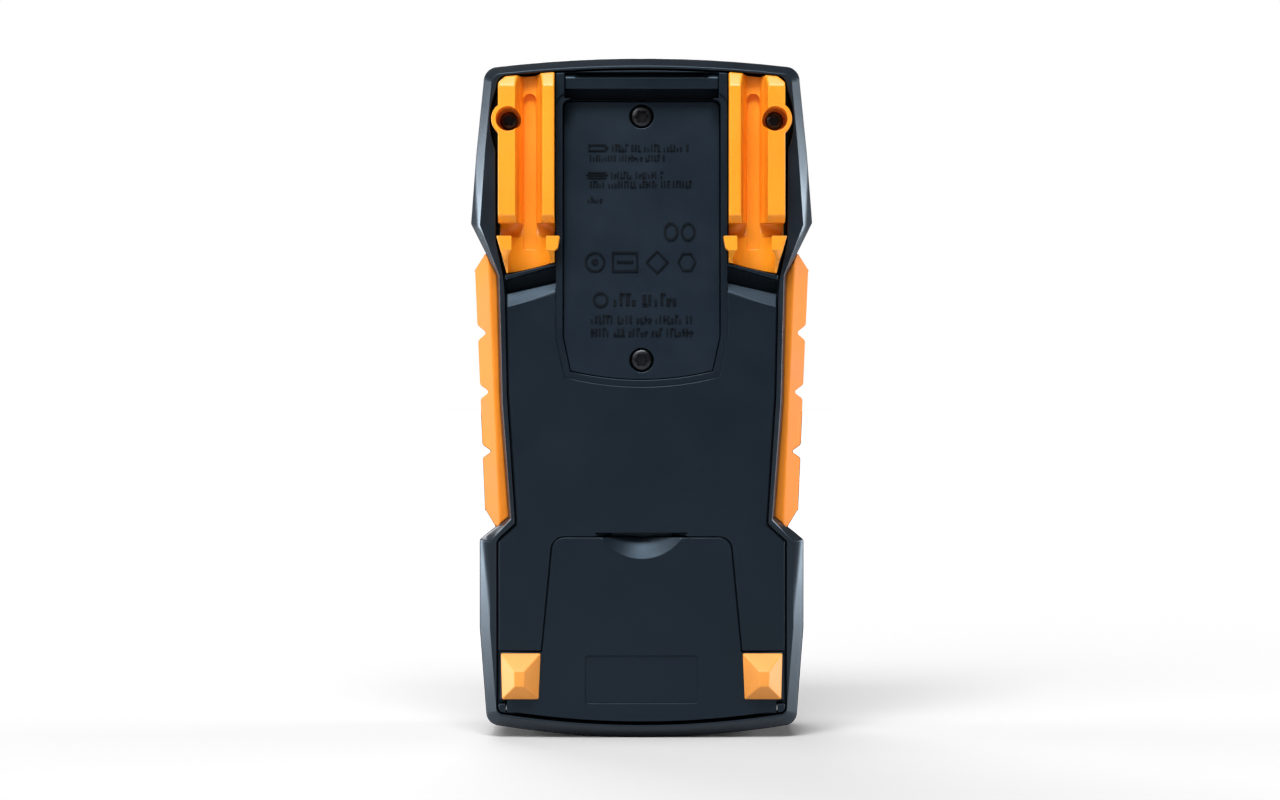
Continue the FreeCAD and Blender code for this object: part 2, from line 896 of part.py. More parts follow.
def holder_channel():
    """The tapered channel for a probe, its bottom groove and its flared mouth."""
    x = d.channel_x
    taper = prism(
        "channel_taper",
        "XY",
        [(x - 2.4, 17.2), (x + 2.4, 17.2), (x + 3.5, 22.6), (x - 3.4, 22.6)],
        120,
        170,
    )
    keel = prism(
        "channel_keel",
        "XY",
        [(x - 1.6, 15.0), (x + 1.6, 15.0), (x + 2.4, 17.3), (x - 2.4, 17.3)],
        120,
        170,
    )
    groove = fuse(
        "channel_groove",
        box("groove_run", (x - 1.6, x + 1.6), (13.6, 20), (120, 156.7)),
        back_rod("groove_end", 1.6, x, 156.7, 13.6, 20),
    )
    return [taper, keel, groove]


def make_holder():
    """A clip that holds one test probe: a channel above and a cradle below."""
    x = d.channel_x
    shape = [
        (d.holder_inner, 116.6),
        (33.0, 113.9),
        (d.holder_outer, 122.5),
        (d.holder_outer, 148.2, d.boss_radius),
        (d.holder_outer, 154.8),
        (d.holder_outer, 160.4),
        (33.3, 162.0),
        (d.holder_inner, 163.1),
    ]
    base = prism("holder_base", "XZ", shape, d.holder_floor, d.holder_crest)
    claw_shapes = {
        "inner": [(20.4, 119.9), (23.4, 117.4), (23.4, 122.9), (19.9, 122.9)],
        "outer": [(31.6, 116.8), (33.7, 116.8), (35.4, 122.9), (31.6, 122.9)],
    }
    claws = [
        prism(f"claw_{name}", "XZ", corners, 18.9, 22.3) for name, corners in claw_shapes.items()
    ]
    lower_trim = prism(
        "cradle_trim",
        "YZ",
        [(18.9, 112), (30, 112), (30, 117.2), (22.3, 119.4), (18.9, 116.9)],
        15,
        40,
    )
    gap = box("holder_gap", (15, 40), (13.8, 30), (122.9, 126.3))
    cradle = rod("cradle_bore", d.cradle_radius, (x, d.cradle_y, 105), (0, 0, 1), 17.9)
    screw_room = back_rod("holder_sink", 3.0, d.boss_x, d.boss_z, 14.5, 30)
    screw_bore = back_rod("holder_bore", d.screw_radius + d.screw_gap, d.boss_x, d.boss_z, 5, 30)
    crest = d.holder_crest
    lead_in = prism(
        "holder_lead_in",
        "YZ",
        [(crest + 1, 158.2), (crest + 1, 170), (19.0, 170), (19.4, 163.4), (crest, 159.6)],
        15,
        40,
    )
    tail = prism(
        "holder_tail",
        "YZ",
        [(20.2, 125), (crest + 1, 125), (crest + 1, 128.6), (crest, 127.9), (20.2, 126.4)],
        15,
        40,
    )
    trims = [lead_in, tail, lower_trim]
    tools = holder_channel() + [gap, cradle, screw_room, screw_bore] + trims
    right = cut("holder_right", fuse("holder_blank", base, *claws), *tools)
    piece("probe_holder_right", right)
    piece("probe_holder_left", mirrored("holder_left", right))


def make_case_screws():
    """Two screws under the stand and two through the probe holders."""
    low = [
        screw("case_screw_a", 2.9, d.screw_radius, d.screw_x, d.screw_z, 13.0, -7, 2.0),
        screw("case_screw_b", 2.9, d.screw_radius, -d.screw_x, d.screw_z, 13.0, -7, 2.0),
    ]
    piece("case_screws", group("case_screw_pair", *low))
    high = [
        screw("holder_screw_a", 2.2, d.screw_radius, d.boss_x, d.boss_z, 14.5, -6, 1.9),
        screw("holder_screw_b", 2.2, d.screw_radius, -d.boss_x, d.boss_z, 14.5, -6, 1.9),
    ]
    piece("holder_screws", group("holder_screw_pair", *high))


# ---------------------------------------------------------------- tilting stand


def make_stand():
    """The flap that props the meter up, with its pins and feet."""
    half, bottom = stand_half_outline()
    plate = prism(
        "stand_plate", "XZ", whole(half, bottom), d.panel - d.stand_thick, d.panel
    )
    knuckle = rod(
        "stand_knuckle",
        d.knuckle_radius,
        (-d.ear_half, d.hinge_y, d.hinge_z),
        (1, 0, 0),
        d.ear_half * 2,
    )
    notch = doc.addObject("Part::Cone", "stand_notch")
    bind(notch, "Radius1", 6.5)
    bind(notch, "Radius2", 14.1)
    bind(notch, "Height", 3.8)
    notch.Placement = BACKWARD
    place(notch, 0, 15.7, 56.0)
    recess = rounded(size(-13.8), size(13.8), size(8.6), size(20.3), 0.8)
    label = prism("stand_label", "XZ", recess, 18.1, 20)
    bores = both(
        "stand_bore",
        lambda n: rod(
            n, d.pin_radius + d.pin_gap, (26.5, d.hinge_y, d.hinge_z), (1, 0, 0), 8
        ),
    )
    blank = fuse("stand_blank", plate, knuckle)
    piece("stand", cut("stand_solid", blank, notch, label, *bores))
    pins = both(
        "hinge_pin",
        lambda n: rod(n, d.pin_radius, (27, d.hinge_y, d.hinge_z), (1, 0, 0), 7.2),
    )
    piece("stand_hinge_pins", group("hinge_pins", *pins))


def make_feet():
    """Soft pyramid feet on the stand's arms."""
    base = outline(
        "foot_base", [(25.1, 9.5), (34.3, 9.5), (34.6, 21.0), (24.6, 21.0)], d.panel
    )
    apex = outline(
        "foot_apex", [(28.75, 13.0), (30.95, 13.0), (31.05, 16.8), (28.585, 16.8)], d.back_rest
    )
    right = loft("foot_pyramid", base, apex)
    piece("foot_right", right)
    piece("foot_left", mirrored("foot_twin", right))


# ---------------------------------------------------------------- front half


KEYS = [("power", 0, 59.0, 15.0, 8.0)]
KEYS += [
    (f"function_{i + 1}", 19.0 * (i % 3 - 1), 90.0 - 15.5 * (i // 3), 14.0, 9.5) for i in range(6)
]
KEYS += [(f"soft_{i + 1}", 14.6 * (i - 1.5), 106.5, 11.4, 6.0) for i in range(4)]


def key_outline(x, z, wide, tall, growth=0):
    """The outline of one key at its place."""
    half_x = size(wide) / 2 + growth
    half_z = size(tall) / 2 + growth
    return rounded(x - half_x, x + half_x, z - half_z, z + half_z, 2.0)


def make_keys():
    """Every key: a cap through the face and a flange behind it."""
    for name, x, z, wide, tall in KEYS:
        cap = prism(
            f"cap_{name}", "XZ", key_outline(x, z, wide, tall), d.face - d.key_lift, d.face + 2.9
        )
        flange = prism(
            f"flange_{name}", "XZ", key_outline(x, z, wide, tall, 0.9), d.face + 2.05, d.face + 2.9
        )
        piece(f"key_{name}", fuse(f"key_solid_{name}", cap, flange))


def make_keypad():
    """Rubber mat with a hollow under each key, and the sheet of click domes."""
    mat = prism(
        "mat_plate", "XZ", rounded(size(-27), size(27), size(51), size(112.5), 3.0), -16.75, -15.0
    )
    hollows = []
    domes = []
    for name, x, z, wide, tall in KEYS:
        hollows.append(box(f"hollow_{name}", (x - 4, x + 4), (-16.0, -14), (z - 2.6, z + 2.6)))
        domes.append(back_rod(f"dome_{name}", 2.2, x, z, -15.5, -14.9))
    piece("keypad_mat", cut("mat", mat, *hollows))
    sheet_plate = box("dome_plate", (-26.5, 26.5), (-14.95, -14.65), (51.5, 112))
    piece("dome_sheet", fuse("dome_solid", sheet_plate, *domes))


def make_display():
    """Window, glass, backlight, frame and the contact strips of the display."""
    edge = rounded(-d.window_half, d.window_half, d.window_low, d.window_high, 3.0)
    piece("display_window", prism("window_pane", "XZ", edge, d.face + 0.2, d.face + 1.3))
    piece("lcd_glass", box("glass", (-28.1, 28.1), (-18.3, -16.8), (119.8, 156.2)))
    frame = box("frame_block", (-29.2, 29.2), (-18.4, -14.65), (118.4, 157.6))
    room = box("frame_room", (-28.2, 28.2), (-20, -14), (119.7, 156.3))
    piece("lcd_frame", cut("frame", frame, room))
    piece("lcd_backlight", box("light", (-28.0, 28.0), (-16.7, -14.7), (122.2, 153.8)))
    strips = [box(f"strip_{z}", (-26, 26), (-16.8, -14.6), (z, z + 1.5)) for z in (120.2, 154.3)]
    piece("zebra_strips", group("strips", *strips))


def make_board():
    """Main circuit board and the parts that stand on it."""
    back = d.board_y + d.board_thick
    plate = box("board_plate", (-d.board_half, d.board_half), (d.board_y, back), (38, 157.5))
    holes = both("board_hole", lambda n: back_rod(n, 3.7, d.screw_x, d.screw_z, -20, 0))
    piece("main_board", cut("board", plate, *holes))
    chips = [
        box("chip_main", (-8, 6), (back, back + 1.4), (92, 106)),
        box("chip_memory", (-20, -14), (back, back + 1.2), (80, 86)),
        box("chip_supply", (12, 17), (back, back + 1.2), (70, 75)),
        box("chip_relay", (-21, -10), (back, back + 5), (60, 68)),
        box("chip_clock", (10, 14), (back, back + 2.5), (110, 121)),
    ]
    piece("board_chips", group("chips", *chips))
    bar = box("shunt_bar", (14, 16), (-8, -7), (48, 62))
    legs = [box(f"shunt_leg_{z}", (14, 16), (back, -7.5), (z, z + 1)) for z in (48, 61)]
    piece("shunt", fuse("shunt_solid", bar, *legs))
    piece("buzzer", cut(
        "buzzer_solid",
        back_rod("buzzer_can", 6.5, 18, 86, back, back + 6),
        back_rod("buzzer_port", 1.2, 18, 86, back + 3, back + 7),
    ))
    guards = [back_rod(f"guard_{x}", 4.5, x, 54, back, back + 4.5) for x in (-22, 4)]
    piece("input_protection", group("guards", *guards))


def jack_places():
    """Number and X of the three sockets."""
    return [(index + 1, d.jack_pitch * (index - 1)) for index in range(3)]


def make_jacks():
    """Three shrouded 4 mm sockets: housing, contact tubes and coloured rings."""
    floor = d.face + 19.5
    block = box("jack_block", (-28, 28), (d.face + d.wall, floor + 2), (16.5, 36.5))
    wells = [
        back_rod(f"well_{n}", d.jack_well, x, d.jack_z, d.face, floor) for n, x in jack_places()
    ]
    piece("jack_housing", cut("jack_body", block, *wells))
    for number, x in jack_places():
        tube = back_rod(
            f"tube_{number}", d.contact_radius, x, d.jack_z, floor - d.contact_length, floor
        )
        hole = back_rod(
            f"plug_hole_{number}", d.plug_radius, x, d.jack_z, floor - 20, floor - 1
        )
        piece(f"jack_contact_{number}", cut(f"contact_{number}", tube, hole))
        collar = back_rod(f"collar_{number}", 6.4, x, d.jack_z, d.face - 0.4, d.face + 1.2)
        eye = back_rod(f"collar_eye_{number}", d.jack_well, x, d.jack_z, d.face - 5, d.face + 5)
        piece(f"jack_ring_{number}", cut(f"ring_{number}", collar, eye))


def front_openings():
    """Everything cut through the face."""
    pane = d.cover_gap / 2
    tools = [
        prism(
            "window_seat",
            "XZ",
            rounded(
                -d.window_half - pane,
                d.window_half + pane,
                d.window_low - pane,
                d.window_high + pane,
                3.0,
            ),
            d.face - 1,
            d.face + 1.3,
        ),
        box("window_hole", (-28, 28), (d.face - 1, d.face + 5), (120.5, 155.5)),
    ]
    for name, x, z, wide, tall in KEYS:
        shape = key_outline(x, z, wide, tall, d.key_gap)
        tools.append(prism(f"key_hole_{name}", "XZ", shape, d.face - 1, d.face + 5))
    for number, x in jack_places():
        tools.append(back_rod(f"jack_hole_{number}", d.jack_well, x, d.jack_z, -25, d.face + 4))
        tools.append(back_rod(f"ring_seat_{number}", 6.45, x, d.jack_z, -25, d.face + 1.2))
    return tools


def make_front_cover():
    """Front case half."""
    skin = grown("front_skin", panel_edge, d.case_step, d.face, d.parting)
    hollow = grown("front_hollow", panel_edge, -d.wall, d.face + d.wall, d.parting + 1)
    posts = []
    holes = []
    for name, x, z in (("low", d.screw_x, d.screw_z), ("high", d.boss_x, d.boss_z)):
        radius = d.screw_radius + d.thread_gap
        posts += both(
            f"front_post_{name}",
            lambda n: back_rod(n, d.post_radius, x, z, d.face + 1, d.parting),
        )
        holes += both(f"front_hole_{name}", lambda n: back_rod(n, radius, x, z, -9, 10))
    shell = fuse("front_shell", cut("front_walls", skin, hollow), *posts)
    groove = ring("front_seal_groove", panel_edge, -0.6, -1.3, d.parting - 0.5, d.parting + 1)
    piece("front_cover", cut("front", shell, groove, *holes, *front_openings()))


def make_case_seal():
    """The ring between the case halves."""
    seal = ring("case_seal_ring", panel_edge, -0.65, -1.25, d.parting - 0.5, d.parting + 0.5)
    piece("case_seal", seal)


# ---------------------------------------------------------------- build and write


def build():
    """Make every sub-part."""
    make_rim()
    make_grips()
    make_rear_cover()
    make_hanger_bar()
    make_battery_cover()
    make_battery_tray()
    make_cells()
    make_battery_contacts()
    make_fuse()
    make_holder()
    make_case_screws()
    make_stand()
    make_feet()
    make_keys()
    make_keypad()
    make_display()
    make_board()
    make_jacks()
    make_front_cover()
    make_case_seal()


def check():
    """Stop if any object failed or any sub-part is not a sound solid."""
    faults = []
    for thing in doc.Objects:
        if {"Invalid", "Error"} & set(thing.State):
            faults.append(f"{thing.Name}: {thing.State}")
    for thing in pieces:
        shape = thing.Shape
        if shape.isNull() or not shape.isValid() or not shape.Solids:
            faults.append(f"{thing.Label}: bad shape")
        elif any(solid.Volume <= 0 for solid in shape.Solids):
            faults.append(f"{thing.Label}: no volume")
    if faults:
        raise RuntimeError("; ".join(faults))


def write():
    """Write every sub-part to its own file."""
    os.makedirs(PARTS, exist_ok=True)
    for thing in pieces:
        thing.Shape.exportStep(os.path.join(PARTS, f"{thing.Label}.step"))
        print(thing.Label, len(thing.Shape.Solids), round(thing.Shape.Volume / 1000, 3), "cm3")


build()
doc.recompute()
check()
write()
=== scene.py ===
"""Finished surfaces of a hand-held digital multimeter, built round its CAD frame.

Lengths are metres unless a name says otherwise. The meter stands on its bottom edge: +Z runs
up its length, the display faces -Y and the rear panel faces +Y.
"""

import json
import math
import random

import bmesh
import bpy
from bpy.props import FloatProperty, FloatVectorProperty, IntProperty, PointerProperty
from mathutils import Matrix, Vector
from mathutils.geometry import intersect_point_line


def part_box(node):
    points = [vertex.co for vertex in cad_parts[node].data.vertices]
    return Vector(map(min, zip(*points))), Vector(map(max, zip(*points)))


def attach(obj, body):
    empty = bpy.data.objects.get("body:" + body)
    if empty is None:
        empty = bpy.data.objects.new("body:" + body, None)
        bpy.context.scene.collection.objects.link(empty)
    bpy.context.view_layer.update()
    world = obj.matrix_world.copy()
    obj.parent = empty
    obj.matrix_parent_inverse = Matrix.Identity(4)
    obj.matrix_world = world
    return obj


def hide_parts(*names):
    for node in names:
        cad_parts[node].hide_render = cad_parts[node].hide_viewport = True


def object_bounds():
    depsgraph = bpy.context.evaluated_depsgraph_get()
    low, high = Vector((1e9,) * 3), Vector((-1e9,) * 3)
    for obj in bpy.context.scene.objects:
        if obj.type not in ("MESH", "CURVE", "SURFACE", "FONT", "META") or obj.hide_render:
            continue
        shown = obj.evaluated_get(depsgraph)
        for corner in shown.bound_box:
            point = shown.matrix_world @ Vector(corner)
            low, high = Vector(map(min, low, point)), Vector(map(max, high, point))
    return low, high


bl_info = {
    "name": "Digital multimeter",
    "version": (1, 0, 0),
    "blender": (4, 5, 0),
    "location": "View3D > Sidebar > Meter",
    "description": "Builds the finished surfaces of a hand-held multimeter round its CAD frame",
    "category": "Object",
}

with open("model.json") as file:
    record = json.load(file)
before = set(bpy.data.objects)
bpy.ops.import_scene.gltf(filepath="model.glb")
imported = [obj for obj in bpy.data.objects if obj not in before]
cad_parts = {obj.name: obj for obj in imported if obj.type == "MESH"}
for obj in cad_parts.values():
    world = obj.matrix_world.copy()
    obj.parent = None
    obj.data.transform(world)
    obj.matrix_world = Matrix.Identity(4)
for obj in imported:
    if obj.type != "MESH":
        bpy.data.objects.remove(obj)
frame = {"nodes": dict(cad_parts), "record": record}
CAD_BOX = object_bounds()
RECORD = frame["record"]
SLOT_OF = {part["node"]: part["material_slot"] for part in RECORD["subparts"]}
BODY_OF = {node: body for body, nodes in RECORD["behaviour"]["bodies"].items() for node in nodes}

MM = 0.001

# rounding: points that are one, faces that are flat, edges that run on, and the room they take
MERGE = 2e-6
FLAT_WITHIN = math.radians(0.4)
RUNS_ON = math.radians(30)
SHARP_PAST = math.radians(32)
LEAST_EDGE = 0.02 * MM
SHARE_OF_GAP = 0.45
SHARE_OF_SPOKE = 0.9

# depth of the finest moulded grain and of scratches, and how far brushing draws them out
FINE_GRAIN = 0.000009
SCRATCH_DEPTH = 0.000006
BRUSHED_PITCH = 0.03

# half the width of the display's glass
GLASS_HALF_WIDTH = 0.0281

# middle of the battery cover's outer face at its lower and upper edge, and the face's depth, mm
COVER_LOW = Vector((0, 17.7, 88.0))
COVER_HIGH = Vector((0, 13.0, 156.5))
FACE_Y = -20.5

# the point of the rear panel that the camera looks at
AIM = (0.0004, 0.018, 0.0829)

# the turn that sets a four-sided shape square
SQUARE = math.pi / 4

KEY_NAMES = (
    ["power"] + [f"function_{n}" for n in range(1, 7)] + [f"soft_{n}" for n in range(1, 5)]
)


# ---------------------------------------------------------------- settings


def tone(label, about, default):
    """A colour that a user may change."""
    return FloatVectorProperty(
        name=label, description=about, default=default, subtype="COLOR", size=3, min=0, max=1
    )


def length(label, about, millimetres):
    """A length that a user may change."""
    return FloatProperty(
        name=label, description=about, default=millimetres * MM, min=0, unit="LENGTH", precision=5
    )


class MeterColours(bpy.types.PropertyGroup):
    """Colours of the moulded and printed surfaces."""

    housing: tone("Housing", "Blue-black plastic of both case halves", (0.0045, 0.0075, 0.012))
    rim: tone("Rim", "Soft sleeve round the case", (0.009, 0.0115, 0.016))
    orange: tone("Orange plastic", "Probe holders and the power key", (1.0, 0.3, 0.012))
    grip: tone("Orange rubber", "Soft side grips", (0.74, 0.215, 0.016))
    foot: tone("Feet", "Soft pyramid feet", (0.95, 0.34, 0.05))
    key: tone("Keys", "Rubber key caps", (0.05, 0.06, 0.07))
    print: tone("Print", "Marks on keys and face", (0.75, 0.77, 0.78))
    glass: tone("Display", "Unlit liquid crystal", (0.36, 0.4, 0.33))


class MeterSizes(bpy.types.PropertyGroup):
    """Edge roundings and raised marks."""

    case_edge: length("Case edge", "Rounding of the case's edges", 0.22)
    rim_edge: length("Rim edge", "Rounding of the soft rim's edges", 0.35)
    grip_edge: length("Grip edge", "Rounding of the side grips' edges", 0.5)
    holder_edge: length("Holder edge", "Rounding of the probe holders' edges", 0.4)
    foot_edge: length("Foot edge", "Rounding of the pyramid feet's edges", 0.3)
    key_edge: length("Key edge", "Rounding of the key caps' edges", 0.45)
    mark_height: length("Mark height", "Height of the raised marks on the battery cover", 0.32)
    edge_steps: IntProperty(
        name="Edge steps", description="Faces across each rounded edge", default=3, min=1, max=6
    )


class MeterStage(bpy.types.PropertyGroup):
    """Camera and lights."""

    lens: FloatProperty(name="Lens", description="Focal length", default=80, unit="CAMERA")
    distance: length("Distance", "From the rear panel to the camera", 697)
    key_power: FloatProperty(name="Key", description="Upper soft light", default=3.2, unit="POWER")
    side_power: FloatProperty(name="Sides", description="Side soft lights", default=6, unit="POWER")
    top_power: FloatProperty(
        name="Top", description="Soft light overhead", default=10, unit="POWER"
    )
    front_power: FloatProperty(
        name="Face", description="Soft light on the display side", default=6, unit="POWER"
    )
    dim: FloatProperty(
        name="Surround", description="Brightness of the room in reflections", default=0.07, min=0
    )


# ---------------------------------------------------------------- material recipes


class Wire:
    """A socket of a recipe; the usual signs add the Math nodes for it."""

    def __init__(self, recipe, socket):
        self.recipe = recipe
        self.socket = socket

    def maths(self, operation, *values):
        """The Math node of an operation."""
        return self.recipe.node("ShaderNodeMath", {"operation": operation}, dict(enumerate(values)))

    def __add__(self, other):
        return self.maths("ADD", self, other)

    def __radd__(self, other):
        return self.maths("ADD", other, self)

    def __sub__(self, other):
        return self.maths("SUBTRACT", self, other)

    def __rsub__(self, other):
        return self.maths("SUBTRACT", other, self)

    def __mul__(self, other):
        return self.maths("MULTIPLY", self, other)

    def __rmul__(self, other):
        return self.maths("MULTIPLY", other, self)

    def __gt__(self, other):
        return self.maths("GREATER_THAN", self, other)

    def __lt__(self, other):
        return self.maths("LESS_THAN", self, other)

    def __abs__(self):
        return self.maths("ABSOLUTE", self)


class Recipe:
    """A material, or the world, that is put together node by node."""

    def __init__(self, owner):
        owner.use_nodes = True
        self.owner = owner
        self.tree = owner.node_tree
        self.tree.nodes.clear()

    def node(self, kind, settings=None, inputs=None, output=0):
        """Add a node: its settings first, then the values or links of its sockets."""
        made = self.tree.nodes.new(kind)
        for key, value in (settings or {}).items():
            setattr(made, key, value)
        for key, value in (inputs or {}).items():
            if isinstance(value, Wire):
                self.tree.links.new(value.socket, made.inputs[key])
            else:
                made.inputs[key].default_value = value
        return Wire(self, made.outputs[output]) if len(made.outputs) else made

    def place(self):
        """Where a point lies on the meter."""
        return self.node("ShaderNodeTexCoord", output="Object")

    def axis(self, name):
        """One coordinate of that place."""
        return self.node("ShaderNodeSeparateXYZ", inputs={0: self.place()}, output=name)

    def noise(self, size, detail=2.0, rough=0.5, where=None):
        """Smooth noise whose lumps are about size metres wide."""
        return self.node(
            "ShaderNodeTexNoise",
            inputs={
                "Vector": where or self.place(),
                "Scale": 1 / size,
                "Detail": detail,
                "Roughness": rough,
            },
        )

    def cells(self, size, feature="F1"):
        """Distance to the nearest of points scattered about size metres apart."""
        return self.node(
            "ShaderNodeTexVoronoi",
            {"feature": feature},
            {"Vector": self.place(), "Scale": 1 / size},
        )

    def span(self, wire, low, high, to_low=0.0, to_high=1.0):
        """Stretch low..high to to_low..to_high, and clip."""
        return self.node(
            "ShaderNodeMapRange", inputs={0: wire, 1: low, 2: high, 3: to_low, 4: to_high}
        )

    def blend(self, share, first, second):
        """From the first colour to the second."""
        shades = {
            index: shade if isinstance(shade, Wire) else (*shade, 1.0)
            for index, shade in ((6, first), (7, second))
        }
        return self.node("ShaderNodeMix", {"data_type": "RGBA"}, {0: share, **shades}, output=2)

    def bump(self, height, depth):
        """A surface raised by height times depth metres."""
        return self.node(
            "ShaderNodeBump", inputs={"Height": height, "Distance": depth, "Strength": 1.0}
        )

    def surface(self, **sockets):
        """The finished shader; socket names have underscores for spaces."""
        names = {key.replace("_", " "): value for key, value in sockets.items()}
        shade = names.get("Base Color")
        if shade is not None and not isinstance(shade, Wire):
            names["Base Color"] = (*shade, 1.0)
        shader = self.node("ShaderNodeBsdfPrincipled", inputs=names)
        self.node("ShaderNodeOutputMaterial", inputs={"Surface": shader})
        return self.owner


def scaled(shade, factor):
    """A colour made lighter or darker."""
    return tuple(min(1.0, part * factor) for part in shade)


def recipe_for(name):
    """An empty recipe for a new material."""
    return Recipe(bpy.data.materials.new(name))


def moulded(name, shade, rough, grain=0.00042, depth=0.00002, **constants):
    """Spark-eroded plastic: a fine pebbled grain, slow changes of tone and rubbed patches."""
    r = recipe_for(name)
    pebbles = r.cells(grain, "SMOOTH_F1")
    fine = r.noise(grain * 0.45, 3.0)
    slow = r.noise(0.03, 2.0)
    patches = r.span(r.noise(0.011, 4.0, 0.6), 0.35, 0.75)
    base = r.blend(r.span(slow, 0.3, 0.7), scaled(shade, 0.88), scaled(shade, 1.14))
    flecked = r.blend(r.span(fine, 0.35, 0.75) * 0.35, base, scaled(shade, 1.5))
    height = pebbles * 0.7 + fine * 0.5
    return r.surface(
        Base_Color=flecked,
        Roughness=rough - 0.05 + patches * 0.1 + fine * 0.04,
        Normal=r.bump(height, depth),
        **constants,
    )


def rubber(name, shade, rough, grain=0.0003, depth=0.000012, **constants):
    """Soft moulded rubber: a matt skin with fine pores and a little dust in them."""
    r = recipe_for(name)
    pores = r.cells(grain)
    mottle = r.noise(0.014, 4.0, 0.6)
    fine = r.noise(grain * 0.6, 2.0)
    base = r.blend(r.span(mottle, 0.3, 0.72), scaled(shade, 0.9), scaled(shade, 1.1))
    dusty = r.blend(r.span(pores, 0.0, 0.35, 0.22, 0.0), base, scaled(shade, 1.35))
    return r.surface(
        Base_Color=dusty,
        Roughness=rough + r.span(mottle, 0.3, 0.7, -0.05, 0.06),
        Normal=r.bump(pores * 0.6 + fine * 0.6, depth),
        **constants,
    )


def metal(name, shade, rough, brushed=False, tarnish=0.25):
    """Bare or plated metal with fine scratches, drawn out along Z where it is brushed."""
    r = recipe_for(name)
    stretch = (1, 1, BRUSHED_PITCH) if brushed else (1, 1, 1)
    where = r.node(
        "ShaderNodeMapping", {"vector_type": "POINT"}, {"Vector": r.place(), "Scale": stretch}
    )
    scratches = r.noise(0.00022, 3.0, 0.7, where)
    stain = r.span(r.noise(0.0045, 5.0, 0.65), 0.4, 0.8)
    base = r.blend(stain * tarnish, shade, scaled(shade, 0.45))
    return r.surface(
        Base_Color=base,
        Metallic=1.0,
        Roughness=rough + scratches * 0.16 + stain * 0.12 - 0.06,
        Normal=r.bump(scratches, SCRATCH_DEPTH),
    )


def printed(name, shade):
    """Silk-screen ink with a faintly uneven edge and thickness."""
    r = recipe_for(name)
    cover = r.noise(0.0006, 3.0)
    base = r.blend(r.span(cover, 0.3, 0.7), scaled(shade, 0.86), shade)
    return r.surface(
        Base_Color=base, Roughness=0.5 + cover * 0.1, Normal=r.bump(cover, 0.000008)
    )


def clear_window():
    """Hard-coated acrylic."""
    r = recipe_for("window acrylic")
    haze = r.noise(0.02, 3.0)
    return r.surface(
        Base_Color=(0.97, 0.98, 0.99),
        Roughness=r.span(haze, 0.3, 0.7, 0.02, 0.06),
        IOR=1.49,
        Transmission_Weight=1.0,
    )


def liquid_crystal(shade):
    """The unlit cell: a soft grey-green with a faint dot grid, and painted shade darkening it
    towards its left and right edges.
    """
    r = recipe_for("liquid crystal")
    weave = r.noise(0.00035, 2.0)
    cloud = r.noise(0.02, 2.0)
    across = abs(r.axis("X")) * (1 / GLASS_HALF_WIDTH)
    # painted shade: the cell turns darker towards its left and right edges
    edge = r.span(across, 0.75, 1.0)
    base = r.blend(r.span(cloud, 0.3, 0.7), scaled(shade, 0.95), scaled(shade, 1.04))
    shaded = r.blend(edge * 0.35, base, scaled(shade, 0.7))
    return r.surface(
        Base_Color=shaded, Roughness=0.22 + weave * 0.08, Normal=r.bump(weave, 0.000004)
    )


def wrapped_cell(name, nub_up):
    """A cell: foil wrap with a copper-coloured end band, bare steel at both ends."""
    r = recipe_for(name)
    up = r.axis("Z") * (1 / MM)
    low_end, high_end, band_edge = (97.4, 139.6, 126.0) if nub_up else (98.6, 140.8, 111.5)
    bare = (up < low_end) + (up > high_end)
    band = (up > band_edge) if nub_up else (up < band_edge)
    flecks = r.noise(0.0009, 4.0)
    wrap = r.blend(band, (0.012, 0.013, 0.016), (0.62, 0.27, 0.09))
    wrap = r.blend(r.span(flecks, 0.4, 0.7) * 0.12, wrap, (0.5, 0.5, 0.5))
    base = r.blend(bare, wrap, (0.62, 0.61, 0.58))
    return r.surface(
        Base_Color=base,
        Metallic=r.span(bare + band * 0.6, 0.0, 1.0),
        Roughness=0.26 + flecks * 0.16,
        Normal=r.bump(flecks, 0.00001),
    )


def board_laminate():
    """Green laminate with darker copper runs under the mask and tinned dots."""
    r = recipe_for("board laminate")
    where = r.place()
    runs = r.node(
        "ShaderNodeTexBrick",
        {"offset": 0.37, "squash": 0.6, "squash_frequency": 3},
        {
            "Vector": r.node(
                "ShaderNodeMapping", inputs={"Vector": where, "Rotation": (math.pi / 2, 0, 0)}
            ),
            "Scale": 260.0,
            "Mortar Size": 0.04,
        },
        output="Fac",
    )
    dots = r.cells(0.0032) < 0.16
    weave = r.noise(0.0005, 2.0)
    mask = r.blend(runs, (0.012, 0.09, 0.035), (0.03, 0.17, 0.06))
    base = r.blend(dots, mask, (0.62, 0.62, 0.6))
    return r.surface(
        Base_Color=base,
        Metallic=dots * 0.9,
        Roughness=0.32 + weave * 0.12,
        Normal=r.bump(runs * 0.5 + weave * 0.5, 0.00002),
    )


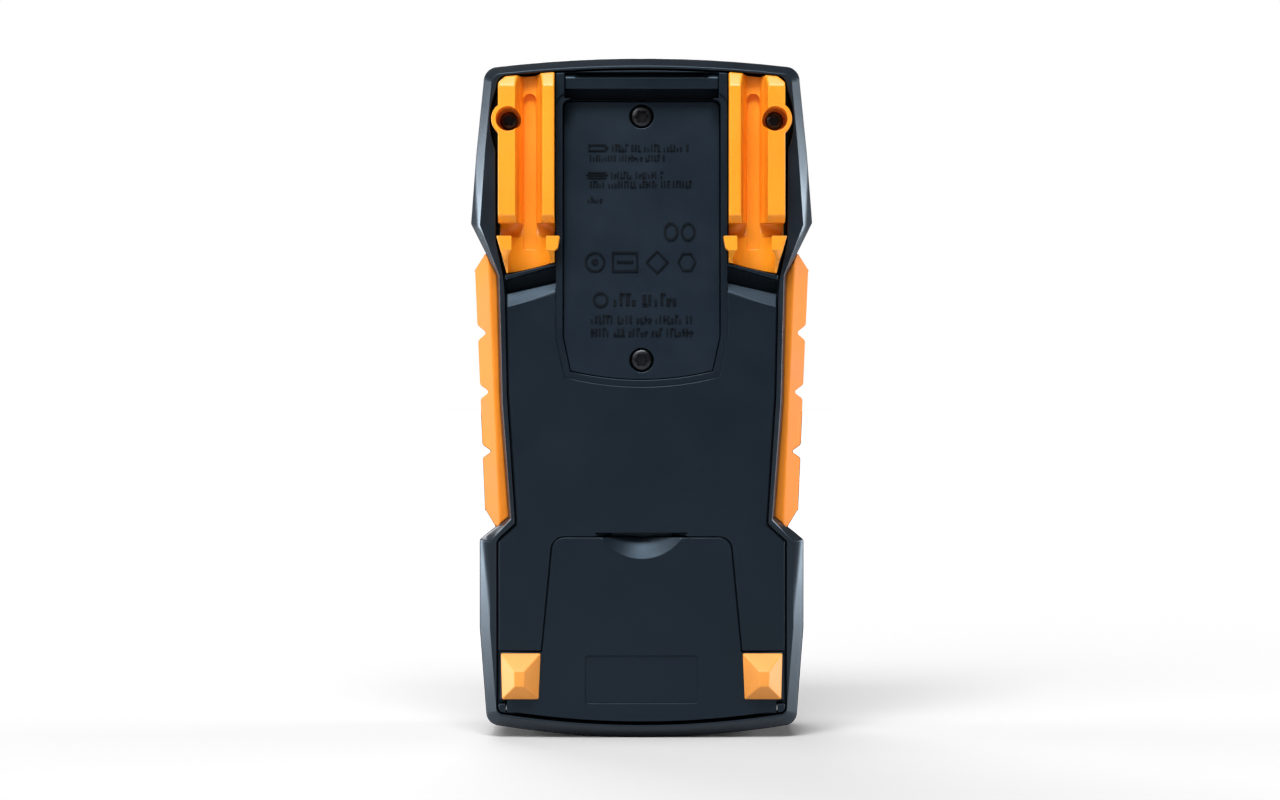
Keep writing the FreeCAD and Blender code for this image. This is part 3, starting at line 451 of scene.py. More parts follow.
def make_materials():
    """Every finish by the record's slot, plus the few that no slot names."""
    tones = bpy.context.scene.meter_colours
    # a lighter copy of the housing colour: on the face it is a lighter tone; on the battery cover
    # it is painted light for the light its sloped face catches from above
    lighter = scaled(tones.housing, 1.3)
    # a blue cast in the gloss of the dark mouldings
    night = {"Specular_IOR_Level": 0.36, "Specular_Tint": (0.6, 0.8, 1.0, 1.0)}
    return {
        "housing": moulded("moulded housing", tones.housing, 0.38, depth=FINE_GRAIN, **night),
        "front_housing": moulded("moulded face", lighter, 0.4, depth=0.000012, **night),
        "soft_rim": rubber(
            "soft rim", tones.rim, 0.32, depth=0.000006, **{**night, "Specular_IOR_Level": 0.5}
        ),
        "orange_grip": rubber("orange rubber", tones.grip, 0.55, Specular_IOR_Level=0.15),
        "orange_plastic": moulded(
            "orange plastic",
            tones.orange,
            0.36,
            depth=0.000012,
            Subsurface_Weight=0.12,
            Subsurface_Radius=(0.004, 0.0012, 0.0004),
            Subsurface_Scale=0.5,
        ),
        "orange_foot": rubber("foot rubber", tones.foot, 0.45, depth=0.000008),
        # painted light: the cover is the housing's plastic, made lighter for the light its
        # upward-tilted face catches from above
        "door": moulded("moulded cover painted lit", lighter, 0.38, depth=FINE_GRAIN, **night),
        "steel": metal("bright steel", (0.6, 0.6, 0.6), 0.28),
        "dark_screw": metal("blackened screw", (0.045, 0.045, 0.05), 0.3, tarnish=0.5),
        "spring_steel": metal("spring steel", (0.66, 0.64, 0.6), 0.22, brushed=True),
        "brass": metal("plated brass", (0.83, 0.62, 0.28), 0.2),
        "window": clear_window(),
        "lcd": liquid_crystal(tones.glass),
        "backlight": moulded("light guide", (0.8, 0.82, 0.8), 0.25, grain=0.0008),
        "inner_frame": moulded("inner frame plastic", (0.42, 0.43, 0.43), 0.5),
        "zebra": rubber("zebra strip", (0.5, 0.12, 0.1), 0.5),
        "key_cap": rubber("key rubber", tones.key, 0.55),
        "key_orange": rubber("orange key rubber", tones.orange, 0.48),
        "mat": rubber("keypad mat", (0.25, 0.26, 0.28), 0.6),
        "dome": moulded("dome film", (0.55, 0.5, 0.3), 0.3),
        "board": board_laminate(),
        "chips": moulded("chip resin", (0.02, 0.02, 0.022), 0.45, grain=0.0002),
        "shunt": metal("shunt alloy", (0.72, 0.5, 0.32), 0.35, brushed=True),
        "buzzer": moulded("buzzer case", (0.015, 0.015, 0.017), 0.4),
        "guard": moulded("guard ceramic", (0.05, 0.13, 0.35), 0.35),
        "jack_body": moulded("socket plastic", (0.015, 0.016, 0.018), 0.45),
        "jack_red": moulded("red socket ring", (0.62, 0.018, 0.012), 0.38),
        "jack_black": moulded("black socket ring", (0.01, 0.01, 0.011), 0.34),
        "tray": moulded("tray plastic", (0.02, 0.022, 0.026), 0.5),
        "cell": wrapped_cell("wrapped cell", False),
        "cell_turned": wrapped_cell("wrapped cell turned", True),
        "ceramic": moulded("fuse ceramic", (0.72, 0.7, 0.64), 0.4, grain=0.0003),
        "seal": rubber("seal rubber", (0.04, 0.04, 0.043), 0.7),
        # the raised marks are the cover's own plastic: their darker colour is painted shade, and
        # their lower roughness is a real polish
        "polished_mark": moulded(
            "polished marks with painted shade", scaled(tones.housing, 0.6), 0.24, depth=0.000004
        ),
        "ink": printed("pale ink", tones.print),
        "segment": printed("dark segment", (0.016, 0.018, 0.018)),
    }


FINISH = {}


def finish(slot):
    """The finish for a slot."""
    if not FINISH:
        FINISH.update(make_materials())
    return FINISH[slot]


# ---------------------------------------------------------------- building blocks


def link_piece(name, shape, material, node):
    """Turn a bmesh into a piece that rides with node's body and wears the given material."""
    mesh = bpy.data.meshes.new(name)
    shape.to_mesh(mesh)
    shape.free()
    mesh.polygons.foreach_set("use_smooth", [True] * len(mesh.polygons))
    mesh.materials.append(material)
    made = bpy.data.objects.new(name, mesh)
    bpy.context.scene.collection.objects.link(made)
    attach(made, BODY_OF[node])
    return made


def even_shading(made):
    """Let the large faces set the shading, so that they stay flat."""
    even = made.modifiers.new("even shading", "WEIGHTED_NORMAL")
    even.keep_sharp = True
    even.weight = 80


def gap_between(first, second):
    """Distance between two edges that lie in one face."""
    gap = math.inf
    for one, other in ((first, second), (second, first)):
        start, end = (vert.co for vert in other.verts)
        for vert in one.verts:
            near, share = intersect_point_line(vert.co, start, end)
            if share < 0 or share > 1:
                near = start if share < 0 else end
            gap = min(gap, (vert.co - near).length)
    return gap


def chains(sharp, turn):
    """Group sharp edges that run on smoothly, and give each edge its group's number."""
    group = {edge: number for number, edge in enumerate(sharp)}
    waiting = set(sharp)
    while waiting:
        open_ends = [waiting.pop()]
        number = group[open_ends[0]]
        while open_ends:
            edge = open_ends.pop()
            for vert in edge.verts:
                met = [other for other in vert.link_edges if other in group and other is not edge]
                way = edge.other_vert(vert).co - vert.co
                for other in met:
                    bend = math.pi - way.angle(other.other_vert(vert).co - vert.co)
                    if len(met) == 1 and bend < turn and other in waiting:
                        waiting.discard(other)
                        group[other] = number
                        open_ends.append(other)
    return group


def room_for_edges(shape, angle, width):
    """How far each sharp edge may be rounded before it meets a neighbour."""
    sharp = [
        edge
        for edge in shape.edges
        if len(edge.link_faces) == 2 and edge.calc_face_angle(0) > math.radians(angle)
    ]
    group = chains(sharp, RUNS_ON)
    room = dict.fromkeys(sharp, width)
    for face in shape.faces:
        edges = [edge for edge in face.edges if edge in room]
        for index, first in enumerate(edges):
            for second in edges[index + 1 :]:
                if group[first] == group[second]:
                    continue
                if set(first.verts) & set(second.verts):
                    room[first] = min(room[first], second.calc_length() * SHARE_OF_GAP)
                    room[second] = min(room[second], first.calc_length() * SHARE_OF_GAP)
                else:
                    gap = gap_between(first, second) * SHARE_OF_GAP
                    room[first] = min(room[first], gap)
                    room[second] = min(room[second], gap)
    for edge in sharp:
        for vert in edge.verts:
            for spoke in vert.link_edges:
                if spoke not in room:
                    room[edge] = min(room[edge], spoke.calc_length() * SHARE_OF_SPOKE)
    least = {}
    for edge, reach in room.items():
        least[group[edge]] = min(least.get(group[edge], width), reach)
    return {edge: least[group[edge]] for edge in sharp}


def rounded(node, width, angle=30, steps=None):
    """A copy of a CAD node with its doubles merged and its sharp edges rounded."""
    shape = bmesh.new()
    shape.from_mesh(frame["nodes"][node].data)
    bmesh.ops.remove_doubles(shape, verts=shape.verts, dist=MERGE)
    bmesh.ops.dissolve_limit(
        shape, angle_limit=FLAT_WITHIN, verts=shape.verts, edges=shape.edges
    )
    weight = shape.edges.layers.float.new("bevel_weight_edge")
    for edge, room in room_for_edges(shape, angle, width).items():
        if edge.is_convex and room > LEAST_EDGE:
            edge[weight] = room / width
        else:
            edge.smooth = False
    made = link_piece(f"{node}_rounded", shape, finish(SLOT_OF[node]), node)
    edges = made.modifiers.new("rounded edges", "BEVEL")
    edges.limit_method = "WEIGHT"
    edges.width = width
    edges.segments = steps or bpy.context.scene.meter_sizes.edge_steps
    edges.use_clamp_overlap = False
    edges.loop_slide = False
    even_shading(made)
    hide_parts(node)
    return made


def dress(*nodes):
    """Give CAD nodes the finish of their slot."""
    for node in nodes:
        slots = frame["nodes"][node].data.materials
        slots.clear()
        slots.append(finish(SLOT_OF[node]))


def rear_view(low, high):
    """A matrix from marks drawn right and up, as seen from behind, to a face from low to high."""
    up = (high - low).normalized()
    right = Vector((-1, 0, 0))
    out = right.cross(up)
    return Matrix.Translation(low) @ Matrix((right, up, out)).transposed().to_4x4()


def front_view(y):
    """The same for a face across the front at depth y."""
    basis = Matrix((Vector((1, 0, 0)), Vector((0, 0, 1)), Vector((0, -1, 0)))).transposed()
    return Matrix.Translation((0, y, 0)) @ basis.to_4x4()


class Marks:
    """Flat raised marks, drawn right and up in millimetres and then laid on a face."""

    def __init__(self, height, sunk=0.1, taper=0.86):
        self.shape = bmesh.new()
        self.height = height
        self.sunk = sunk
        self.taper = taper

    def raise_face(self, faces, centre=None):
        """Lift flat faces to solid marks, a little narrower at the top."""
        lifted = bmesh.ops.extrude_face_region(self.shape, geom=faces)["geom"]
        verts = [item for item in lifted if isinstance(item, bmesh.types.BMVert)]
        bmesh.ops.translate(self.shape, verts=verts, vec=(0, 0, self.height + self.sunk))
        if centre is not None:
            space = Matrix.Translation((-centre[0], -centre[1], 0))
            bmesh.ops.scale(self.shape, verts=verts, vec=(self.taper, self.taper, 1), space=space)

    def loop(self, sides, u, v, wide, tall, turn=0.0, filled=False):
        """A closed loop of edges in the drawing plane."""
        matrix = (
            Matrix.Translation((u, v, -self.sunk))
            @ Matrix.Diagonal((wide / 2, tall / 2, 1, 1))
            @ Matrix.Rotation(turn, 4, "Z")
        )
        return bmesh.ops.create_circle(
            self.shape, segments=sides, radius=1.0, cap_ends=filled, matrix=matrix
        )["verts"]

    def patch(self, sides, u, v, wide, tall, turn=0.0):
        """A filled shape: 4 sides with a turn of 45 degrees is a rectangle."""
        grow = math.sqrt(2) if sides == 4 and turn else 1.0
        verts = self.loop(sides, u, v, wide * grow, tall * grow, turn, True)
        self.raise_face([verts[0].link_faces[0]], (u, v))

    def bar(self, u0, v0, u1, v1):
        """A rectangle between two corners."""
        self.patch(4, (u0 + u1) / 2, (v0 + v1) / 2, u1 - u0, v1 - v0, SQUARE)

    def frame(self, sides, u, v, wide, tall, line, turn=0.0):
        """An open outline of a given line width."""
        grow = math.sqrt(2) if sides == 4 and turn else 1.0
        outer = self.loop(sides, u, v, wide * grow, tall * grow, turn)
        inner = self.loop(sides, u, v, (wide - 2 * line) * grow, (tall - 2 * line) * grow, turn)
        edges = list({edge for vert in outer + inner for edge in vert.link_edges})
        faces = bmesh.ops.bridge_loops(self.shape, edges=edges)["faces"]
        self.raise_face(faces)

    def arc(self, u, v, radius, line, start, sweep, steps=20):
        """Part of a ring."""
        near = self.shape.verts.new((u + radius, v, -self.sunk))
        far = self.shape.verts.new((u + radius - line, v, -self.sunk))
        edge = self.shape.edges.new((near, far))
        centre = (u, v, 0)
        bmesh.ops.rotate(
            self.shape, verts=[near, far], cent=centre, matrix=Matrix.Rotation(start, 3, "Z")
        )
        before = set(self.shape.faces)
        bmesh.ops.spin(
            self.shape,
            geom=[near, far, edge],
            cent=centre,
            axis=(0, 0, 1),
            angle=sweep,
            steps=steps,
        )
        self.raise_face([face for face in self.shape.faces if face not in before])

    def finish(self, name, matrix, material, node):
        """Lay the marks on their face and make them a piece."""
        bmesh.ops.transform(
            self.shape, matrix=Matrix.Scale(MM, 4) @ matrix, verts=self.shape.verts
        )
        bmesh.ops.recalc_face_normals(self.shape, faces=self.shape.faces)
        made = link_piece(name, self.shape, material, node)
        made.data.polygons.foreach_set("use_smooth", [False] * len(made.data.polygons))
        return made


# ---------------------------------------------------------------- screws


STAR_POINTS = 6
STAR_STEPS = 48
STAR_SWELL = 0.17
RECESS_DEPTH = 1.1


def star_screw(shape, x, z, head, seat, tall, shank, tip):
    """A pan screw along +Y with a star-shaped recess; head and shank are radii, all in mm."""
    top = seat + tall
    star = head * 0.5
    outline = [
        (0, top - RECESS_DEPTH),
        (star, top - RECESS_DEPTH),
        (star, top - 0.12),
        (star + 0.12, top),
        (head * 0.78, top - 0.06),
        (head - 0.2, top - 0.28),
        (head, top - 0.62),
        (head, seat),
        (shank, seat),
        (shank, tip + 0.6),
        (shank * 0.4, tip),
        (0, tip),
    ]
    verts = [shape.verts.new((x + radius, y, z)) for radius, y in outline]
    edges = [shape.edges.new(pair) for pair in zip(verts, verts[1:])]
    before = set(shape.verts) - set(verts)
    bmesh.ops.spin(
        shape,
        geom=verts + edges,
        cent=(x, 0, z),
        axis=(0, 1, 0),
        angle=2 * math.pi,
        steps=STAR_STEPS,
        use_merge=True,
    )
    ring = [vert for vert in shape.verts if vert not in before]
    for vert in ring:
        across, up = vert.co.x - x, vert.co.z - z
        radius = math.hypot(across, up)
        if 0.01 < radius < star + 0.13 and vert.co.y > seat:
            swell = 1 + STAR_SWELL * math.cos(STAR_POINTS * math.atan2(up, across))
            vert.co.x = x + across * swell
            vert.co.z = z + up * swell
    bmesh.ops.remove_doubles(shape, verts=ring, dist=1e-4)


def screw_piece(name, node, screws):
    """A piece with the star screws of one node."""
    shape = bmesh.new()
    for sizes in screws:
        star_screw(shape, *sizes)
    bmesh.ops.scale(shape, vec=(MM, MM, MM), verts=shape.verts)
    bmesh.ops.recalc_face_normals(shape, faces=shape.faces)
    made = link_piece(name, shape, finish(SLOT_OF[node]), node)
    made.data.set_sharp_from_angle(angle=SHARP_PAST)
    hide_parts(node)


# ---------------------------------------------------------------- operators


class METER_OT_stage(bpy.types.Operator):
    """Set the camera, the lights, the pale floor and the surround."""

    bl_idname = "meter.stage"
    bl_label = "Stage"
    bl_options = {"REGISTER", "UNDO"}

    def execute(self, context):
        stage = context.scene.meter_stage
        self.camera(context, stage)
        self.surround(context, stage)
        self.lights(context, stage)
        self.floor(context)
        context.scene.view_settings.view_transform = "Standard"
        context.scene.view_settings.look = "None"
        return {"FINISHED"}

    def camera(self, context, stage):
        """Look square at the rear panel."""
        data = bpy.data.cameras.new("rear camera")
        data.lens = stage.lens
        data.sensor_width = 36
        camera = bpy.data.objects.new("rear camera", data)
        camera.location = (AIM[0], AIM[1] + stage.distance, AIM[2])
        camera.rotation_euler = (math.pi / 2, 0, math.pi)
        context.scene.collection.objects.link(camera)
        context.scene.camera = camera

    def surround(self, context, stage):
        """White to the eye, dim in reflections."""
        world = bpy.data.worlds.new("studio surround")
        context.scene.world = world
        r = Recipe(world)
        seen = r.node("ShaderNodeBackground", inputs={0: (1, 1, 1, 1), 1: 1.0})
        lit = r.node("ShaderNodeBackground", inputs={0: (0.92, 0.96, 1.0, 1), 1: stage.dim})
        eye = r.node("ShaderNodeLightPath", output="Is Camera Ray")
        mixed = r.node("ShaderNodeMixShader", inputs={0: eye, 1: lit, 2: seen})
        r.node("ShaderNodeOutputWorld", inputs={"Surface": mixed})

    def lights(self, context, stage):
        """Soft boxes above, at both sides and on the display side."""
        middle = Vector((0, 0, 0.085))
        cool = (0.93, 0.97, 1.0)
        boxes = (
            ("upper box", (0.42, 0.62, 0.62), 0.5, 0.4, stage.key_power, (1, 0.99, 0.97)),
            ("left box", (0.62, -0.1, 0.06), 0.3, 0.34, stage.side_power, cool),
            ("right box", (-0.62, -0.1, 0.06), 0.3, 0.34, stage.side_power * 0.95, cool),
            ("top box", (0.06, 0.49, 0.84), 0.5, 0.3, stage.top_power, cool),
            ("face box", (0.25, -0.75, 0.55), 0.6, 0.5, stage.front_power, (1, 1, 1)),
        )
        for name, place, wide, tall, power, shade in boxes:
            data = bpy.data.lights.new(name, "AREA")
            data.shape = "RECTANGLE"
            data.size, data.size_y = wide, tall
            data.energy = power
            data.color = shade
            light = bpy.data.objects.new(name, data)
            light.location = place
            light.rotation_euler = (Vector(place) - middle).to_track_quat("Z", "Y").to_euler()
            context.scene.collection.objects.link(light)

    def floor(self, context):
        """The pale floor that the meter stands on."""
        shape = bmesh.new()
        bmesh.ops.create_grid(shape, x_segments=1, y_segments=1, size=20)
        bmesh.ops.translate(shape, verts=shape.verts, vec=(0, 0, CAD_BOX[0].z))
        mesh = bpy.data.meshes.new("studio floor")
        shape.to_mesh(mesh)
        shape.free()
        floor = bpy.data.objects.new("studio_floor", mesh)
        r = recipe_for("studio paper")
        fibre = r.noise(0.002, 3.0)
        shade = r.blend(r.span(fibre, 0.3, 0.7), (0.5, 0.5, 0.5), (0.54, 0.54, 0.54))
        mesh.materials.append(r.surface(Base_Color=shade, Roughness=0.85))
        floor.is_shadow_catcher = True
        context.scene.collection.objects.link(floor)


class METER_OT_rim(bpy.types.Operator):
    """Round the soft rim and the orange side grips."""

    bl_idname = "meter.rim"
    bl_label = "Rim and grips"
    bl_options = {"REGISTER", "UNDO"}

    def execute(self, context):
        sizes = context.scene.meter_sizes
        rounded("rim_bumper", sizes.rim_edge)
        rounded("grip_left", sizes.grip_edge)
        rounded("grip_right", sizes.grip_edge)
        return {"FINISHED"}


class METER_OT_rear(bpy.types.Operator):
    """Round the rear case half and the bar in its top pocket."""

    bl_idname = "meter.rear"
    bl_label = "Rear case"
    bl_options = {"REGISTER", "UNDO"}

    def execute(self, context):
        sizes = context.scene.meter_sizes
        rounded("rear_cover", sizes.case_edge)
        rounded("hanger_bar", sizes.case_edge * 1.6)
        dress("case_seal", "case_screws")
        return {"FINISHED"}


# Raised marks on the battery cover, mm right and up from the middle of its lower edge.
# Rows of strokes: start, end, foot and top.
STROKE_ROWS = (
    (-7.4, 12.1, 56.3, 58.1),
    (-12.8, 6.0, 53.9, 55.5),
    (-7.6, 5.5, 49.6, 51.3),
    (-12.8, 13.2, 47.3, 49.0),
    (-13.3, -9.0, 43.6, 45.2),
    (-6.9, 8.7, 18.0, 21.2),
    (-12.5, 12.9, 13.7, 15.8),
    (-12.5, 12.9, 10.5, 12.6),
)
# Outlines: sides, middle, width, height, line width and turn.
COVER_OUTLINES = (
    (4, -11.0, 57.2, 4.4, 1.7, 0.34, SQUARE),
    (4, -11.0, 50.4, 4.6, 1.6, 0.34, SQUARE),
    (24, 7.2, 36.4, 3.6, 4.6, 0.5, 0),
    (24, 11.4, 36.4, 3.6, 4.6, 0.5, 0),
    (32, -11.5, 28.9, 5.0, 5.0, 0.45, 0),
    (4, -4.1, 28.9, 6.4, 5.0, 0.45, SQUARE),
    (4, 3.8, 28.9, 5.8, 5.8, 0.5, 0),
    (6, 11.1, 28.9, 4.6, 5.2, 0.45, math.pi / 6),
    (16, -10.1, 19.6, 3.8, 3.8, 0.5, 0),
)
# Bars: left, foot, right and top.
COVER_BARS = (
    (-8.75, 56.8, -8.3, 57.6),
    (-13.9, 50.25, -8.1, 50.55),
    (-6.2, 28.6, -2.0, 29.2),
)
# A filled dot: sides, middle, width and height.
COVER_DOT = (32, -11.5, 28.9, 1.8, 1.8)


class METER_OT_battery_cover(bpy.types.Operator):
    """Round the battery cover and raise plain strokes and outlines on it."""

    bl_idname = "meter.battery_cover"
    bl_label = "Battery cover"
    bl_options = {"REGISTER", "UNDO"}

    def execute(self, context):
        sizes = context.scene.meter_sizes
        rounded("battery_cover", sizes.case_edge)
        dress("battery_cover_seal")
        marks = Marks(sizes.mark_height / MM)
        dice = random.Random(7)
        for row in STROKE_ROWS:
            self.stroke_row(marks, dice, *row)
        for outline in COVER_OUTLINES:
            marks.frame(*outline)
        for bar in COVER_BARS:
            marks.bar(*bar)
        marks.patch(*COVER_DOT)
        marks.finish(
            "battery_cover_marks",
            rear_view(COVER_LOW, COVER_HIGH),
            finish("polished_mark"),
            "battery_cover",
        )
        return {"FINISHED"}

    def stroke_row(self, marks, dice, start, end, foot, top):
        """Short upright strokes in groups; they stand for nothing."""
        tall = top - foot
        stroke = tall * 0.2
        pitch = tall * 0.46
        across = start
        left_in_group = dice.randint(3, 9)
        while across + stroke < end:
            if left_in_group:
                drop = dice.choice((0, 0, 0, 0.35, 0.5)) * tall
                wide = stroke * dice.choice((1, 1, 1.5))
                marks.bar(across, foot, across + wide, top - drop)
                if dice.random() < 0.4:
                    level = foot + tall * dice.choice((0.08, 0.5, 0.92))
                    reach = min(across + pitch * 0.9, end)
                    marks.bar(across, level - stroke / 2, reach, level + stroke / 2)
                left_in_group -= 1
                across += pitch
            else:
                left_in_group = dice.randint(3, 9)
                across += pitch * 0.8


class METER_OT_screws(bpy.types.Operator):
    """Turn the star-head screws of the battery cover and the probe holders."""

    bl_idname = "meter.screws"
    bl_label = "Screws"
    bl_options = {"REGISTER", "UNDO"}

    def execute(self, context):
        screw_piece(
            "battery_cover_star_screws",
            "battery_cover_screws",
            [(0, 92.7, 2.75, 15.4, 1.6, 1.25, 6.5), (0, 152.9, 2.75, 11.2, 1.6, 1.25, 2.6)],
        )
        screw_piece(
            "holder_star_screws",
            "holder_screws",
            [(side * 32.6, 151.5, 2.2, 14.5, 1.9, 1.5, -6.0) for side in (1, -1)],
        )
        return {"FINISHED"}


class METER_OT_holders(bpy.types.Operator):
    """Round the two probe holders."""

    bl_idname = "meter.holders"
    bl_label = "Probe holders"
    bl_options = {"REGISTER", "UNDO"}

    def execute(self, context):
        sizes = context.scene.meter_sizes
        for side in ("left", "right"):
            rounded(f"probe_holder_{side}", sizes.holder_edge)
        return {"FINISHED"}


class METER_OT_stand(bpy.types.Operator):
    """Round the tilting stand and its pyramid feet, and dress the pins."""

    bl_idname = "meter.stand"
    bl_label = "Stand"
    bl_options = {"REGISTER", "UNDO"}

    def execute(self, context):
        sizes = context.scene.meter_sizes
        rounded("stand", sizes.case_edge, angle=18)
        for side in ("left", "right"):
            rounded(f"foot_{side}", sizes.foot_edge)
        dress("stand_hinge_pins")
        return {"FINISHED"}


class METER_OT_front(bpy.types.Operator):
    """Round the face and print its thin lines."""

    bl_idname = "meter.front"
    bl_label = "Face"
    bl_options = {"REGISTER", "UNDO"}

    def execute(self, context):
        sizes = context.scene.meter_sizes
        rounded("front_cover", sizes.case_edge)
        lines = Marks(0.03, sunk=0.02, taper=1.0)
        for u in (-28.5, 28.5):
            lines.bar(u - 0.25, 41.0, u + 0.25, 46.5)
        lines.bar(-28.5, 41.0, 28.5, 41.5)
        for u, sides in ((-19, 4), (0, 3), (19, 4)):
            turn = SQUARE if sides == 4 else math.pi / 2
            lines.patch(sides, u, 37.6, 1.8, 1.8, turn)
        lines.finish("face_lines", front_view(FACE_Y), finish("ink"), "front_cover")
        return {"FINISHED"}


class METER_OT_keys(bpy.types.Operator):
    """Round every key cap and print a plain icon on it."""

    bl_idname = "meter.keys"
    bl_label = "Keys"
    bl_options = {"REGISTER", "UNDO"}

    def execute(self, context):
        sizes = context.scene.meter_sizes
        dress("keypad_mat", "dome_sheet")
        for name in KEY_NAMES:
            node = f"key_{name}"
            rounded(node, sizes.key_edge, angle=40)
            low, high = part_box(node)
            u = (low.x + high.x) / 2 / MM
            v = (low.z + high.z) / 2 / MM
            icon = Marks(0.03, sunk=0.02, taper=1.0)
            self.draw_icon(icon, name, u, v)
            icon.finish(f"{node}_icon", front_view(low.y / MM), finish("ink"), node)
        return {"FINISHED"}

    def draw_icon(self, icon, name, u, v):
        """Plain outlines that stand for no maker's own signs."""
        if name == "power":
            icon.arc(u, v, 2.1, 0.45, math.radians(120), math.radians(300))
            icon.bar(u - 0.25, v, u + 0.25, v + 2.5)
        elif name.startswith("soft"):
            icon.bar(u - 1.6, v - 0.25, u + 1.6, v + 0.25)
        elif name == "function_1":
            icon.bar(u - 2.4, v + 0.5, u + 2.4, v + 1.0)
            for shift in (-1.8, 0, 1.8):
                icon.bar(u + shift - 0.6, v - 0.9, u + shift + 0.6, v - 0.4)
        elif name == "function_2":
            icon.arc(u - 1.1, v, 1.3, 0.45, 0, math.pi)
            icon.arc(u + 1.1, v, 1.3, 0.45, math.pi, math.pi)
        elif name == "function_3":
            icon.arc(u, v + 0.2, 1.5, 0.45, math.radians(-50), math.radians(280))
            for side in (-1, 1):
                icon.bar(u + side * 1.4 - 0.7, v - 1.5, u + side * 1.4 + 0.7, v - 1.05)
        elif name == "function_4":
            icon.bar(u - 2.2, v - 0.22, u - 0.9, v + 0.22)
            icon.patch(3, u, v, 2.4, 2.6, 0)
            icon.bar(u + 1.2, v - 1.2, u + 1.6, v + 1.2)
        elif name == "function_5":
            icon.frame(4, u, v, 4.0, 2.2, 0.4, SQUARE)
        else:
            icon.frame(28, u, v, 2.8, 2.8, 0.45)
            icon.bar(u - 0.2, v - 1.9, u + 0.2, v + 1.9)


class METER_OT_display(bpy.types.Operator):
    """Dress the window and draw the numerals on the glass behind it."""

    bl_idname = "meter.display"
    bl_label = "Display"
    bl_options = {"REGISTER", "UNDO"}

    def execute(self, context):
        dress("display_window", "lcd_glass", "lcd_backlight", "lcd_frame", "zebra_strips")
        low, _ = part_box("lcd_glass")
        ink = Marks(0.04, sunk=0.0, taper=1.0)
        for index in range(4):
            self.zero(ink, -19.5 + index * 11.6, 131.5, 8.4, 15.0, 1.5)
        ink.bar(-14.8, 131.4, -13.5, 132.8)
        for index in range(3):
            self.zero(ink, 14.5 + index * 4.0, 124.4, 2.8, 5.0, 0.55)
        for index in range(31):
            tall = 2.2 if index % 10 == 0 else (1.7 if index % 5 == 0 else 1.1)
            u = -24.5 + index * 1.2
            ink.bar(u, 123.9, u + 0.4, 123.9 + tall)
        ink.frame(4, -22.3, 152.0, 4.4, 2.2, 0.35, SQUARE)
        ink.bar(-19.95, 151.5, -19.5, 152.5)
        for shift in (-23.7, -22.5, -21.3):
            ink.bar(shift, 151.3, shift + 0.8, 152.7)
        ink.bar(20.0, 148.6, 24.5, 149.2)
        for shift in (20.0, 21.7, 23.4):
            ink.bar(shift, 147.3, shift + 1.1, 147.9)
        on_glass = front_view(low.y / MM - 0.01)
        ink.finish("display_segments", on_glass, finish("segment"), "lcd_glass")
        return {"FINISHED"}

    def zero(self, ink, left, foot, wide, tall, line):
        """A zero of six strokes: two level ones and four upright."""
        gap = line * 0.16
        half = tall / 2
        for top in (foot + tall, foot + line):
            ink.bar(left + line * 0.7, top - line, left + wide - line * 0.7, top)
        for right in (1, 0):
            for upper in (1, 0):
                u = left + (wide - line) * right
                v = foot + half * upper
                ink.bar(u, v + line * 0.62 + gap, u + line, v + half - line * 0.62 - gap)


class METER_OT_sockets(bpy.types.Operator):
    """Round the socket rings and dress the sockets."""

    bl_idname = "meter.sockets"
    bl_label = "Sockets"
    bl_options = {"REGISTER", "UNDO"}

    def execute(self, context):
        sizes = context.scene.meter_sizes
        dress("jack_housing")
        for number in (1, 2, 3):
            rounded(f"jack_ring_{number}", sizes.case_edge, steps=2)
            rounded(f"jack_contact_{number}", sizes.case_edge * 0.8, steps=2)
        return {"FINISHED"}


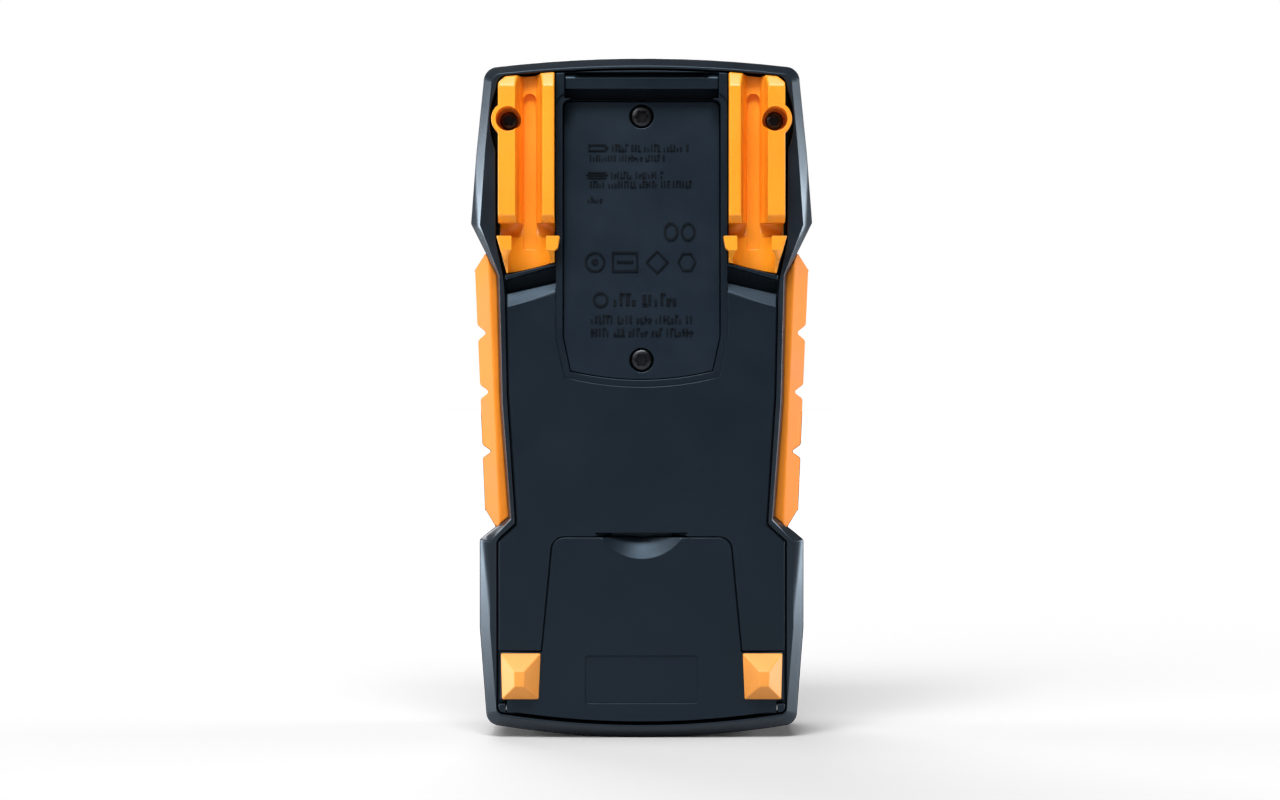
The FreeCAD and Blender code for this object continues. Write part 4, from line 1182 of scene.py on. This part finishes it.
class METER_OT_battery_bay(bpy.types.Operator):
    """Dress the tray, the cells, the fuse and their contacts."""

    bl_idname = "meter.battery_bay"
    bl_label = "Battery bay"
    bl_options = {"REGISTER", "UNDO"}

    def execute(self, context):
        sizes = context.scene.meter_sizes
        rounded("battery_tray", sizes.case_edge)
        dress("battery_contacts", "fuse_clips", "cell_1", "cell_2", "cell_3")
        rounded("fuse", sizes.case_edge)
        turned = frame["nodes"]["cell_2"].data.materials
        turned.clear()
        turned.append(finish("cell_turned"))
        return {"FINISHED"}


class METER_OT_inside(bpy.types.Operator):
    """Dress the main board and what stands on it."""

    bl_idname = "meter.inside"
    bl_label = "Inside"
    bl_options = {"REGISTER", "UNDO"}

    def execute(self, context):
        dress("main_board", "board_chips", "shunt", "buzzer", "input_protection")
        return {"FINISHED"}


OPERATORS = (
    METER_OT_stage,
    METER_OT_rim,
    METER_OT_rear,
    METER_OT_battery_cover,
    METER_OT_screws,
    METER_OT_holders,
    METER_OT_stand,
    METER_OT_front,
    METER_OT_keys,
    METER_OT_display,
    METER_OT_sockets,
    METER_OT_battery_bay,
    METER_OT_inside,
)


class METER_PT_pieces(bpy.types.Panel):
    """Lists the makers of the meter's pieces."""

    bl_label = "Multimeter"
    bl_idname = "METER_PT_pieces"
    bl_space_type = "VIEW_3D"
    bl_region_type = "UI"
    bl_category = "Meter"

    def draw(self, context):
        for maker in OPERATORS:
            self.layout.operator(maker.bl_idname)
        for kind, name in GROUPS:
            for key in kind.__annotations__:
                self.layout.prop(getattr(context.scene, name), key)


GROUPS = (
    (MeterColours, "meter_colours"),
    (MeterSizes, "meter_sizes"),
    (MeterStage, "meter_stage"),
)


def register():
    """Add the settings, the operators and the panel."""
    for group, name in GROUPS:
        bpy.utils.register_class(group)
        setattr(bpy.types.Scene, name, PointerProperty(type=group))
    for maker in OPERATORS:
        bpy.utils.register_class(maker)
    bpy.utils.register_class(METER_PT_pieces)


def unregister():
    """Take them away again."""
    bpy.utils.unregister_class(METER_PT_pieces)
    for maker in reversed(OPERATORS):
        bpy.utils.unregister_class(maker)
    for group, name in reversed(GROUPS):
        delattr(bpy.types.Scene, name)
        bpy.utils.unregister_class(group)


def main():
    """Register the add-on, then build everything."""
    register()
    for maker in OPERATORS:
        group, action = maker.bl_idname.split(".")
        getattr(getattr(bpy.ops, group), action)()


if __name__ == "__main__":
    main()
